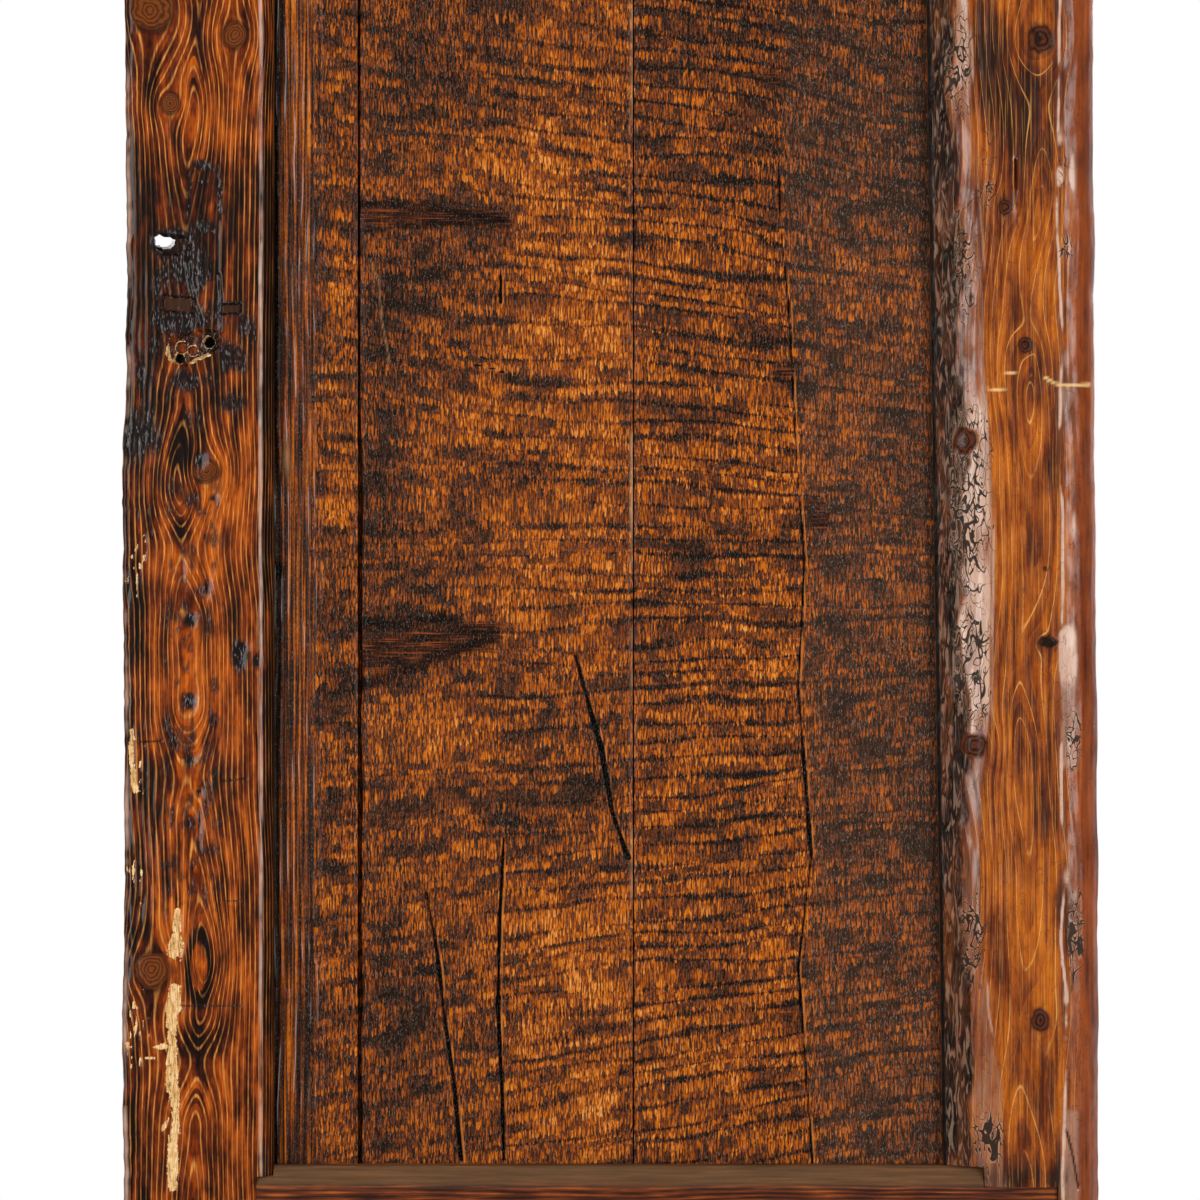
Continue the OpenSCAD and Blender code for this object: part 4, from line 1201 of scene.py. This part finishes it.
def amber_face(net, held, grain, clouds, fine):
    """Colour of the sawn face and of its red flank."""
    # Each ring darkens towards its hard line
    ring_tone = net.spread(net.math("FRACT", held["ring"]), 0.5, 0.85, 0, -0.12)
    tone = net.spread(net.math("ADD", net.math("ADD", held["tone"], ring_tone), grain), 0.57, 1.38)
    amber = net.colours(tone, (0.0, "#2C1308"), (1.0, "#D27C1C"), (0.3, "#602709"), (0.55, "#974808"),
                        (0.78, "#B8610E"))
    wave = net.wave(held["ring"])
    line = net.eased(wave, 0.45, 0.5)
    line_seen = net.times(line, net.spread(clouds, 0.36, 0.56, 0, 0.8))
    lined = net.mix(line_seen, amber, "#E2A355")
    fibred = net.mix(net.spread(fine, 0.58, 0.7, 0, 0.42), lined, "#D08C3C")
    shaded = net.mix(net.spread(fine, 0.42, 0.32, 0, 0.4), fibred, "#3A1A0A")
    red = net.mix(net.spread(grain, 0.7, 1.3), "#521F0C", "#A85220")
    return net.mix(held["flank"], shaded, red)


# %% [markdown]
# ## Finish: slab with bark and varnish
# Knots, sapwood with painted highlights, bark, galleries and a painted shadow along the lip lie over the
# amber face. The varnish is thick on the plain wood, so it has waves of its own and shines there, and it
# is thin on bark, knots and the flank.

# %% Waney pine


def waney_pine(name):
    """Smooth amber pine with thin pale contours; grey-brown strands and dark galleries on the wane."""
    material, net = new_material(name)
    held = net.held("ring", "knot", "wane", "gallery", "raw", "tone", "flank", "sap", "bored")
    streaks = net.noise(5, 14, 120, 4, Roughness=0.6)
    clouds = net.noise(28, 40, 70, 4, Roughness=0.65)
    grain = net.math("ADD", streaks, clouds)
    fine = net.noise(1.3, 6, 75, 2)
    flanked = amber_face(net, held, grain, clouds, fine)
    knot_noise = net.weighed(net.times(held["knot"], 16.0), (streaks, 9.0))
    knot_colour = net.mix(net.spread(net.math("SINE", knot_noise), -1, 1.2), "#1C0E08", "#5E2A10")
    knot_seen = net.spread(held["knot"], 1.15, 0.75)
    knotted = net.mix(knot_seen, flanked, knot_colour)
    strands, bark = bark_strands(net, clouds)
    # Pale sapwood just under the bark, with painted highlights over it and along the shoulder
    sap_part = net.math("MULTIPLY", held["sap"], grain, use_clamp=True)
    sap_colour = net.mix(net.spread(held["sap"], 0.3, 0.95), "#7A4C3A", "#C6A08A")
    sap_under = net.mix(sap_part, knotted, sap_colour)
    # Painted highlights turn nearly white where the painted field is strongest
    sap_white = net.spread(held["sap"], 1.2, 1.8)
    white_part = net.times(sap_white, net.spread(fine, 0.44, 0.58, 0.1))
    barked = net.mix(held["wane"], net.mix(white_part, sap_under, "#E6C9B8"), bark)
    # Galleries are dark inside and pale along their rims
    bore_left = gallery_edge(net, held["bored"])
    tunnels = net.spread(bore_left, 0.008, -0.012)
    tunnel_rims = net.spread(bore_left, 0.05, 0.015, 0, 0.4)
    rim_part = net.times(tunnel_rims, net.spread(held["bored"], 0.4, 0.7))
    # Galleries are dark inside, with a painted highlight on the pale wood along their rims. Cracks, knot
    # hearts and a painted shadow along the lip are black
    bored = net.mix(tunnels, net.mix(rim_part, barked, "#C9A285"), "#33241B")
    skin = net.mix(held["raw"], net.mix(held["gallery"], bored, "#0E0A07"), "#E9BE7C")
    # Strands stand up, tunnels lie deep, and the thick varnish has waves of its own
    waves = net.noise(9, 14, 26, 2)
    bark_relief = net.times(strands, held["wane"])
    relief = net.weighed(bark_relief, (streaks, 0.25), (waves, 0.9), (tunnels, -0.9))
    dull = net.spread(held["raw"], to_low=0.45, to_high=0.8)
    rough_part = net.math("MAXIMUM", net.math("MAXIMUM", held["wane"], held["gallery"]), tunnels)
    matt_flank = net.math("MULTIPLY_ADD", held["flank"], 0.6, rough_part, use_clamp=True)
    matt = net.math("MULTIPLY_ADD", knot_seen, 0.7, matt_flank, use_clamp=True)
    varnish_all = net.spread(matt, to_low=0.8, to_high=0.05)
    varnish = net.times(varnish_all, net.spread(waves, 0.4, 0.6, 0.15))
    net.surface(skin, relief, 0.8, 1.2, {"Roughness": dull, "Specular IOR Level": 0.1,
                                         "Coat Weight": varnish, "Coat Roughness": 0.18})
    return material


# Softwood of the hinge stile, with its round edge, under thick varnish
slab_pine = waney_pine("varnished_waney_pine")
print(slab_pine.name, len(slab_pine.node_tree.nodes), "nodes")

# %% [markdown]
# ## Hinge stile: plain slab
# The slab's section changes all the way up, because the tree's round edge wanders. Each row works out
# its own section: a lip against the boards, the wane, the flat crown and the rounded shoulder.

# %% Section of the hinge stile
WANE = [(0, 0.34), (0.09, 0.4), (0.125, 0.4), (0.17, 0.3), (0.215, 0.24), (0.265, 0.29), (0.315, 0.35),
        (0.41, 0.37), (0.5, 0.335), (0.6, 0.275), (0.65, 0.26), (0.78, 0.29), (0.9, 0.24), (1, 0.24)]
LIP_D, EDGE_D, SHOULDER_W = 41, 34, 33
LAP_TOP, LAP_END, WANE_LAP_END, LAP_SEAT = 171.3, 935.3, 862.3, 30
SLAB_REBATE_TOP = 1856
# Rise across the wane and across the shoulder, each as shares of width and height
WANE_FORM = [(0, 0), (0.3, 0.38), (0.86, 0.95), (1, 1)]
SHOULDER_FORM = [(0, 0), (0.12, 0.42), (0.42, 0.86), (0.92, 0.997), (1, 1)]


def wane_width(z):
    """Width of the wane at a height."""
    return swell(z, [(share * LEAF_H, part) for share, part in WANE]) * (hinge_edge(z) - seam(z))


def rounded(t, form):
    """Curve through points with its corners rounded off."""
    shares, values = zip(*form)
    shifts = (-0.08, -0.04, 0, 0.04, 0.08)
    return np.mean([np.interp(np.clip(t + shift, 0, 1), shares, values) for shift in shifts], axis=0)


def slab_depth(x, left, wane_w, right):
    """Thickness of the slab across its width."""
    t = np.clip((x - left) / wane_w, 0, 1)
    s = np.clip((right - x) / SHOULDER_W, 0, 1)
    wane = LIP_D + (CROWN_D - LIP_D) * rounded(t, WANE_FORM)
    shoulder = EDGE_D + (CROWN_D - EDGE_D) * rounded(s, SHOULDER_FORM)
    return np.minimum(wane, shoulder)


# %% [markdown]
# ## Hinge stile: wrapping the slab
# The columns run across the front by shares of the width, so they follow both edges. At the foot the
# slab is cut back under the rail's lap, and behind it a rebate holds the boards.

# %% Hinge stile, wrapped
above_rail = RAIL_H + FIT
level = steps((0, BOARD_FOOT, 10), (BOARD_FOOT, LAP_TOP, 2.4), (LAP_TOP, above_rail, 2.4),
              (above_rail, FINE_HIGH, 2.4), (FINE_HIGH, SPRING, 9), (SPRING, LEAF_H, 10))
square_steps = [LAP_TOP - step, above_rail - step, BOARD_FOOT - step, SLAB_REBATE_TOP,
                SLAB_REBATE_TOP - step]
level = np.sort(np.concatenate([level, square_steps]))
left, right, wane_w = seam(level), hinge_edge(level), wane_width(level)
# Columns are close together on the wane and on the shoulder
share = np.concatenate([np.linspace(0, 0.42, 52)[:-1], np.linspace(0.42, 0.76, 30)[:-1],
                        np.linspace(0.76, 1, 26)])
held_back = (level >= BOARD_FOOT) & (level < SLAB_REBATE_TOP)
front_x = left[:, None] + share * (right - left)[:, None]
front_d = slab_depth(front_x, left[:, None], wane_w[:, None], right[:, None])
lapped = (level[:, None] < LAP_TOP) & (front_x < LAP_END)
lapped |= (level[:, None] < above_rail) & (front_x < WANE_LAP_END)
front_d = np.where(lapped, np.minimum(front_d, LAP_SEAT), front_d)
back_share = np.linspace(1, 0, 13)[:-1]
back_x = left[:, None] + back_share * (right - left)[:, None]
rebate = np.where(held_back, REBATE_W, 0)
back_x = np.maximum(back_x, (left + rebate)[:, None])
inner_x = np.stack([left + rebate, left + rebate, left], axis=1)
rebate_d = np.where(held_back, REBATE_D, 0)
inner_d = np.stack([0 * left, rebate_d, rebate_d], axis=1)
x = np.concatenate([inner_x, front_x, back_x], axis=1)
d = np.concatenate([inner_d, front_d, 0 * back_x], axis=1)
z = arched(level[:, None], x, ARCH_R, SPRING)
hinge_stile = wrapped("old_hinge_stile", x, d, z, arch_split=15)

# %% [markdown]
# ## Hinge stile: contours and knots
# The pale lines are ring contours like height lines on a map, because the sawn face cuts the rings at a
# shallow angle. They are made as on the lock stile, with wider rings and a heart that wanders.

# %% Contours of the hinge stile
SLAB_KNOTS = [(918, 1318, 15, 16), (883, 1151, 8, 9), (903, 1013, 8, 9), (926, 716, 10, 6),
              (918, 338, 10, 13), (843, 918, 13, 15), (853, 613, 14, 13), (900, 1700, 15, 17),
              (915, 80, 12, 13)]
SLAB_HEART = [(0, 905), (240, 905), (480, 915), (640, 900), (800, 915), (1050, 905), (1200, 920),
              (1358, 915), (2100, 900)]
SLAB_DEPTH = [(0, 40), (170, 26), (330, 44), (470, 30), (600, 20), (690, 40), (860, 30), (960, 16),
              (1040, 38), (1150, 26), (1250, 46), (1318, 30), (1500, 44), (1700, 24), (1900, 46),
              (2100, 30)]

x, d, z = places(hinge_stile)
left, right, wane_w = seam(z), hinge_edge(z), wane_width(z)
face = ramp(d, 30.5, 36)
inward = x - left
shifted = parted(x, z, SLAB_KNOTS) + 9 * noise(x / 50, z / 240, 71) + 4 * noise(x / 22, z / 90, 72)
across = shifted - swell(z, SLAB_HEART)
bow = 0.9 * (swell(z, SLAB_DEPTH) - 30) * np.exp(-(across / 20) ** 2)
ring = 9 + (np.hypot(across, 6) + bow) / 9.2
knot = knot_share(x, z, SLAB_KNOTS) + 0.2 * rough(x / 7, z / 7, 70)
print("contours of the hinge stile", round(float(ring.max() - ring.min())))

# %% [markdown]
# ## Hinge stile: bark, galleries and relief
# Strands of inner bark cling to the half of the wane next to the boards, and beetles fed under the bark
# and left branching galleries. The strands, cracks and scratches are moved into the mesh, and the
# galleries are drawn by the finish inside zones that are set here.

# %% Relief of the hinge stile
GALLERY_ZONES = [(846, 860, 22, 110, 1.2), (850, 690, 20, 70, 1.1), (838, 1290, 16, 60, 0.9),
                 (866, 215, 16, 40, 1.1), (850, 420, 16, 60, 0.9), (842, 1090, 16, 90, 0.8),
                 (944, 1112, 8, 16, 1.2), (951, 620, 8, 40, 1), (954, 420, 10, 55, 1),
                 (866, 1180, 12, 60, 0.7), (940, 1200, 6, 40, 0.6)]
SLAB_SCRATCHES = [(2.4, [(923, 980), (933, 974), (945, 972), (968, 974)]),
                  (1.8, [(866, 969), (874, 968), (883, 969)]), (0.9, [(876, 986), (908, 983)])]
SLAB_CRACKS = [(1.6, [(944, 228), (950, 205), (956, 171)]), (1.2, [(893, 1200), (895, 1130)])]

wane_edge = wane_w * (0.5 + 0.12 * along(z, 60, 73)) + 4 * noise(x / 9, z / 16, 74)
no_knot = ramp(knot, 0.75, 1.15)
strand_zone = ramp(inward, wane_edge + 3, wane_edge - 4) * no_knot
zones = lumps(x, z, GALLERY_ZONES)
bark = strand_zone * (0.8 + 0.2 * ramp(rough(x / 12, z / 60, 80), -0.5, 0.3))
bored = no_knot * ramp(inward, 8, 16) * (zones + 0.25 * rough(x / 10, z / 30, 79))
scratch = strokes(x, z, SLAB_SCRATCHES)
cracks = strokes(x, z, SLAB_CRACKS)
flank = ramp(right - x, 32, 16)
sunk = 0.6 + 0.5 * noise(x / 30, z / 160, 81) + 0.35 * (1 - crest(ring)) * (1 - bark)
sunk += 1.8 * bark * (0.6 + rough(x / 5, z / 30, 82)) + 0.8 * scratch + 2.5 * ramp(cracks, 0, 0.7)
sunk += 1.2 * bark * rough(x / 2.5, z / 14, 83)
sunk -= 1.6 * ramp(knot, 1.1, 0.4) * ramp(inward, 40, 30) + 0.5 * ramp(knot, 1.0, 0.6)
sunk += 0.5 * flank * noise(x / 12, z / 80, 84)
wobble = ramp(right - x, 20, 0) * (1.0 * along(z, 70, 85) + 0.4 * along(z, 15, 86) - 0.6)
move_to(hinge_stile, x + wobble + 2.6 * ramp(right - x, 14, 0), d - face * sunk, z)
print("deepest crack of the hinge stile", round(float((face * sunk).max()), 1), "mm")

# %% [markdown]
# ## Hinge stile: paint
# Sapwood shows pale where the bark came off, with painted highlights on it. The shoulder next to the
# hinge edge has painted highlights in stretches, with a thin painted highlight line along its crest.
# Dark spots mark the hearts of knots.

# %% Paint on the hinge stile
# Share of pale sapwood and painted highlight on the wane, by height
SAP_SHARE = [(0, 0.5), (300, 0.45), (560, 0.45), (640, 0.95), (760, 1), (930, 0.9), (1000, 0.4),
             (1250, 0.4), (1290, 0.7), (1358, 0.8), (1500, 0.4), (2100, 0.4)]
# Strength of the painted highlights on the shoulder, by height
SHOULDER_SHARE = [(0, 0.4), (290, 0.4), (330, 1), (470, 1), (520, 0.4), (660, 0.4), (700, 1), (830, 1),
                  (880, 0.4), (1080, 0.4), (1110, 1), (1220, 1), (1260, 0.4), (2100, 0.4)]
SLAB_DARK = [(905, 1255, 45, 50, 1), (870, 1320, 14, 50, 0.9)]
SLAB_DIM = [(915, 975, 20, 30, 1), (930, 900, 8, 60, 1), (900, 180, 60, 14, 1.4)]
SLAB_SPOTS = [(926, 716, 9, 6, 1.1), (903, 1013, 4, 7, 0.9), (918, 1318, 9, 9, 0.9),
              (922, 790, 4, 3, 0.8)]

tone = 0.12 * noise(x / 20, z / 80, 87) - 0.45 * lumps(x, z, SLAB_DARK) - 0.25 * lumps(x, z, SLAB_DIM)
raw = np.clip(1.6 * scratch + 0.4 * rough(x / 4, z / 2.5, 88) - 0.2, 0, 1) * (scratch > 0)
spots = lumps(x, z, SLAB_SPOTS)
dark_spots = 0.9 * ramp(spots + 0.9 * rough(x / 5, z / 5, 89) * (spots > 0.15), 0.45, 0.9)
# Sapwood where the bark came off, with painted highlights placed by height on the wane
bared = swell(z, SAP_SHARE) * (0.9 + 0.5 * rough(x / 8, z / 45, 76)) * no_knot
sap = bared * ramp(inward, wane_edge - 3, wane_edge + 4) * ramp(inward, wane_w - 2, wane_w - 6)
# Painted highlights: a line by the edge of the wane, stretches on the shoulder, and a line along its
# crest
sap_line = ramp(np.abs(inward - wane_w + 2), 2.4, 0.8) * ramp(along(z, 50, 77), -0.25, 0.4)
shoulder_lit = ramp(noise(x / 60, z / 70, 78) + 0.7 * noise(x / 8, z / 20, 75), -0.2, 0.6)
shoulder = 0.1 + 1.3 * swell(z, SHOULDER_SHARE) * shoulder_lit
shoulder = shoulder * ramp(right - x, 17, 24) * ramp(right - x, 42, 36)
crest_off = np.abs(right - x - 36 - 3 * along(z, 60, 90))
crest_line = 1.5 * ramp(crest_off, 2.3, 0.5) * ramp(along(z, 50, 91, rough), -0.35, 0.3)
sap = highest([sap, 0.8 * sap_line, shoulder, crest_line])
# Black: cracks, the hearts of knots, and a painted shadow along the lip where the slab meets the boards
gallery = highest([ramp(cracks, 0.2, 0.8), dark_spots, ramp(inward, 4.4, 2.4)])
paint(hinge_stile, ring=ring, knot=knot, wane=np.clip(bark, 0, 1) * face,
      gallery=np.clip(gallery, 0, 1) * face, raw=raw * face, tone=tone, flank=flank, sap=sap * face,
      bored=bored * face)
finished(hinge_stile, slab_pine)

# %% [markdown]
# ## Bottom rail
# The bottom rail has a dusty chamfer along its top, which keeps rain off the boards, and it laps over
# the hinge stile. It is wrapped as the stiles are, with its rows along its length, and each stretch has
# a section of its own: the lip in the lock stile's notch, the plain rail, the lap and its tongue.

# %% Bottom rail
CHAMFER_H, CHAMFER_D = 18, 16
RAIL_LEFT = NOTCH_X + FIT
SEAM_0 = float(seam(0))
LIP_BACK = FRAME_T - NOTCH_D + FIT
lip_end, lap_start, tongue_start, rail_end = LOCK_W + FIT, SEAM_0 - FIT, WANE_LAP_END - FIT, LAP_END - FIT
rail_x = np.concatenate([
    [RAIL_LEFT, lip_end - step], np.arange(lip_end, lap_start, 2.6),
    [lap_start, lap_start + step], np.arange(SEAM_0 + 2, tongue_start, 3),
    [tongue_start, tongue_start + step], np.arange(WANE_LAP_END + 3, rail_end, 4), [rail_end]])
lip = rail_x < lip_end
lap = rail_x > lap_start
tongue = rail_x > tongue_start
rail_d = np.zeros((len(rail_x), 7))
rail_z = np.zeros((len(rail_x), 7))
back_d = np.where(lip, LIP_BACK, np.where(lap, LAP_SEAT + FIT, 0))
top_z = np.where(lip, NOTCH_TOP - FIT, np.where(tongue, LAP_TOP - FIT, RAIL_H))
ledge_d = np.where(lip | lap, back_d, REBATE_D)
ledge_z = np.where(lip | lap, top_z, BOARD_FOOT)
rail_d[:, 0], rail_z[:, 0] = back_d, 0
rail_d[:, 1], rail_z[:, 1] = FRAME_T, 0
rail_d[:, 2], rail_z[:, 2] = FRAME_T, np.where(tongue, LAP_TOP - FIT, RAIL_H - CHAMFER_H)
rail_d[:, 3], rail_z[:, 3] = FRAME_T - np.where(tongue, 0, np.where(lip, 7, CHAMFER_D)), top_z
rail_d[:, 4], rail_z[:, 4] = ledge_d, top_z
rail_d[:, 5], rail_z[:, 5] = ledge_d, ledge_z
rail_d[:, 6], rail_z[:, 6] = back_d, ledge_z
loop = rolled(np.stack([rail_d, rail_z], axis=-1), [2, 36, 9, 2, 1, 1, 8])
x = np.repeat(rail_x[:, None], loop.shape[1], axis=1)
bottom_rail = wrapped("old_bottom_rail", x, loop[..., 0], loop[..., 1])

# %% [markdown]
# ## Head rail
# The head rail is an arched piece between the stiles. Its section is the same all the way, so it is
# turned about the arch's centre, and its ends are then cut square to the stiles.

# %% Head rail
turn_left = math.acos((LOCK_W + FIT - ARCH_X) / HEAD_INNER_R)
turn_right = math.acos((float(seam(1850)) - FIT - ARCH_X) / HEAD_INNER_R)
turns = np.linspace(turn_left, turn_right, 170)
head_r = np.array([SEAT_R, ARCH_R, ARCH_R, ARCH_R - BEVEL, HEAD_INNER_R + 14, HEAD_INNER_R,
                   HEAD_INNER_R, SEAT_R])
head_d = np.array([0, 0, FRAME_T - BEVEL, FRAME_T, FRAME_T, FRAME_T - 11, REBATE_D, REBATE_D])
profile = np.repeat(np.stack([head_r, head_d], axis=-1)[None], len(turns), axis=0)
loop = rolled(profile, [6, 4, 2, 46, 5, 3, 2, 2])
x = ARCH_X + loop[..., 0] * np.cos(turns)[:, None]
z = ARCH_Z + loop[..., 0] * np.sin(turns)[:, None]
# The ends are cut square to the stiles
x = np.clip(x, LOCK_W + FIT, seam(z) - FIT)
z = np.where((x <= LOCK_W + FIT) | (x >= seam(z) - FIT), arc(loop[..., 0], x), z)
head_rail = wrapped("old_head_rail", x, loop[..., 1], z)

# %% [markdown]
# ## Wear on the rails
# Both rails were brushed a little, so their rings stand in low ridges. Dust settled on the chamfer of
# the bottom rail, and its upper arris is worn.

# %% Rails, worn
x, d, z = places(bottom_rail)
face = ramp(d, 36, 41) * ramp(z, 5, 20)
ring = (z + 6 * noise(x / 160, z / 30, 91) + 1.5 * noise(x / 40, z / 12, 92)) / 6.5
sunk = 0.5 * (1 - crest(ring)) + 0.5 + 0.4 * rough(x / 60, z / 15, 93)
arris = ramp(z, RAIL_H - 6, RAIL_H) * ramp(d, 30, 40)
move_to(bottom_rail, x, d - face * sunk, z - arris * (0.4 + 0.5 * noise(x / 50, d / 9, 94)))
dust = ramp(z, RAIL_H - CHAMFER_H - 2, RAIL_H - CHAMFER_H + 3) * (d > 35)
paint(bottom_rail, ring=ring, dust=dust)
print("dust on", int((dust > 0.5).sum()), "vertices of the bottom rail")

x, d, z = places(head_rail)
face = ramp(d, 46, 54)
ring = (z + 40 * noise(x / 220, z / 160, 95) + 4 * noise(x / 60, z / 40, 96)) / 6
sunk = 0.7 * (1 - crest(ring)) + 0.4 + 0.4 * rough(x / 50, z / 14, 97)
move_to(head_rail, x, d - face * sunk, z)
paint(head_rail, ring=ring, dust=0 * x)

# %% [markdown]
# ## Finish: dusty rail wood
# The rails are dark stained softwood with the grain running across the leaf. Dust lies in the varnish
# on the sloping chamfer and makes it olive and matt.

# %% Rail wood


def rail_pine(name):
    """Dark reddish pine with grain across, and a dusty matt skin on the slope."""
    material, net = new_material(name)
    held = net.held("ring", "dust")
    fibres = net.noise(60, 8, 2.2, 4, Roughness=0.6)
    clouds = net.noise(70, 40, 18, 4)
    lines = net.weighed(fibres, (net.wave(held["ring"]), 0.7))
    tone = net.spread(net.math("ADD", lines, clouds), 0.75, 1.6)
    body = net.colours(tone, (0.0, "#170C08"), (1.0, "#A8571C"), (0.35, "#3A190C"), (0.65, "#6B3012"))
    dust_colour = net.mix(fibres, "#45301E", "#83603F")
    skin = net.mix(net.times(held["dust"], 0.85), body, dust_colour)
    dull = net.spread(held["dust"], to_low=0.35, to_high=0.7)
    net.surface(skin, lines, 0.6, 0.6, {"Roughness": dull, "Specular IOR Level": 0.2})
    return material


# Softwood of the rails, stained dark and dusty
rail_wood = rail_pine("dusty_stained_pine")
finished(bottom_rail, rail_wood)
finished(head_rail, rail_wood)

# %% [markdown]
# ## Finish: forged iron and oak pegs
# The straps, pintles and nails are wrought iron, black from the forge with hammer marks and a little
# rust. The pegs are riven oak, cut off flush, so the eye sees end grain.

# %% Iron and oak


def forged_iron(name):
    """Forge-black iron: dark scale, hammer dents and rust in the hollows."""
    material, net = new_material(name)
    dent_place = net.add("ShaderNodeMapping", {"Vector": net.spot, "Scale": per_mm(14, 14, 14)})
    dents = net.add("ShaderNodeTexVoronoi", {"Vector": dent_place, "Scale": 1}, feature="SMOOTH_F1")
    grit = net.noise(4, 4, 4, 5)
    rust_part = net.spread(net.noise(30, 30, 30, 5), 0.5, 0.72)
    skin = net.mix(rust_part, net.mix(grit, "#151413", "#3A3734"), "#4A2413")
    metal = net.spread(rust_part, to_low=0.8, to_high=0.1)
    dull = net.spread(rust_part, to_low=0.42, to_high=0.85)
    relief = net.weighed(dents, (grit, 0.3))
    net.surface(skin, relief, 0.7, 1.5, {"Metallic": metal, "Roughness": dull})
    return material


def oak_end(name):
    """Oak end grain: fine rings and pores, darkened by stain."""
    material, net = new_material(name)
    pores = net.noise(1.8, 30, 4, 4)
    skin = net.colours(pores, (0.3, "#140B07"), (0.75, "#6B4325"), (0.5, "#3A2012"))
    net.surface(skin, pores, 0.6, 0.6, {"Roughness": 0.5})
    return material


# Wrought iron of the straps, pintles and nails
iron = forged_iron("forged_black_iron")
# End grain of the riven oak pegs
oak = oak_end("oak_end_grain")
IRONWORK = ["board_nails", "strap_nails", "upper_strap", "lower_strap", "upper_pintle", "lower_pintle"]
for name in [*IRONWORK, "corner_pegs"]:
    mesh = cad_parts[name].data
    mesh.materials.clear()
    mesh.materials.append(oak if name == "corner_pegs" else iron)
print("iron on", len(IRONWORK), "CAD nodes, oak on the pegs")

# %% [markdown]
# ## Studio: floor
# The leaf stands on a pale floor that fades into a white ground. A real studio is dark behind the
# camera, so the floor in front of the leaf is dim to reflections, which keeps the varnish from looking
# milky.

# %% Floor
# How bright the room in front of the leaf is to reflections
DIM = 0.1
bpy.ops.object.select_all(action="DESELECT")
bpy.ops.mesh.primitive_plane_add(size=8, location=(0, 0, 0))
floor = bpy.context.object
floor.name = "floor"
# Pale matt floor, seen only near the leaf
floor_material, net = new_material("pale_floor")
ray = net.add("ShaderNodeLightPath").outputs
looked = net.math("MAXIMUM", ray["Is Camera Ray"], ray["Is Glossy Ray"])
seen = net.math("MAXIMUM", looked, ray["Is Transmission Ray"])
reach = net.add("ShaderNodeVectorMath", {0: net.spot}, operation="LENGTH").outputs["Value"]
fade = net.eased(reach, 0.62)
fade_seen = net.times(fade, seen)
pale = net.add("ShaderNodeBsdfDiffuse", {"Color": "#EDEBE8"})
rear = net.add("ShaderNodeSeparateXYZ", {"Vector": net.spot}).outputs["Y"]
floor_level = net.between(ray["Is Glossy Ray"], 1.0, net.spread(rear, -0.3, 0.3, DIM))
white = net.add("ShaderNodeEmission", {"Color": "#FFFFFF", "Strength": floor_level})
mixed = net.add("ShaderNodeMixShader", {0: fade_seen, 1: pale, 2: white})
net.add("ShaderNodeOutputMaterial", {"Surface": mixed})
floor.data.materials.append(floor_material)
print("floor", list(floor.dimensions))

# %% [markdown]
# ## Studio: ground
# The ground is plain white to the camera, gives an even fill to the leaf, and is dim to reflections in
# front of the leaf and bright behind it.

# %% Ground
# Strength of the even fill
AMBIENT = 0.45
world = bpy.data.worlds.new("white_ground")
bpy.context.scene.world = world
world.use_nodes = True
net = Net(world.node_tree)
ray = net.add("ShaderNodeLightPath").outputs
seen = net.math("MAXIMUM", ray["Is Camera Ray"], ray["Is Transmission Ray"])
view = net.add("ShaderNodeTexCoord").outputs["Generated"]
way = net.add("ShaderNodeSeparateXYZ", {"Vector": view}).outputs["Y"]
behind = net.spread(way, 0.2, 0.7, DIM)
level_out = net.between(seen, net.between(ray["Is Glossy Ray"], AMBIENT, behind), 1.0)
ground = net.add("ShaderNodeBackground", {"Color": "#FFFFFF", "Strength": level_out})
net.add("ShaderNodeOutputWorld", {"Surface": ground})
print("ground fills with", AMBIENT)

# %% [markdown]
# ## Studio: lamps
# Two tall soft boxes stand a little to each side of the camera and draw the glints on ridges and on the
# wane. Two more stand behind for the back. Each is turned to the middle of the leaf.

# %% Lamps
AIM_Z = 0.9
LAMPS = [("left_box", (-2.0, -2.8, 1.1), 1.1, 2.1, 50), ("right_box", (2.0, -2.8, 1.1), 1.1, 2.1, 50),
         ("back_left_box", (-1.9, 2.7, 1.7), 1.0, 1.9, 30),
         ("back_right_box", (1.9, 2.7, 1.7), 1.0, 1.9, 30)]
for name, place, width, height, power in LAMPS:
    bpy.ops.object.light_add(type="AREA", location=place)
    lamp = bpy.context.object
    lamp.name = name
    lamp.data.shape = "RECTANGLE"
    lamp.data.size = width
    lamp.data.size_y = height
    lamp.data.energy = power
    lamp.visible_camera = False
    turn = math.atan2(place[0], -place[1])
    tilt = math.atan2(place[2] - AIM_Z, math.hypot(place[0], place[1]))
    lamp.rotation_euler = (math.pi / 2 - tilt, 0, turn)
    print(name, "at", place)

# %% [markdown]
# ## Camera
# A long lens looks straight at the face, as in the picture that the leaf is made from, and it takes in
# the same width of 1.2 metres.

# %% Camera
VIEW_X, VIEW_Z, VIEW_W, LENS = 478, 758, 1200, 105
bpy.ops.object.camera_add()
camera = bpy.context.object
camera.data.lens = LENS
camera.data.sensor_width = 36
reach = VIEW_W * LENS / camera.data.sensor_width
camera.location = (LEFT + VIEW_X * MM, BACK - (FRAME_T + reach) * MM, VIEW_Z * MM)
camera.rotation_euler = (math.pi / 2, 0, 0)
bpy.context.scene.camera = camera
bpy.context.scene.view_settings.view_transform = "Standard"
print("camera", round(reach), "mm in front of the face")
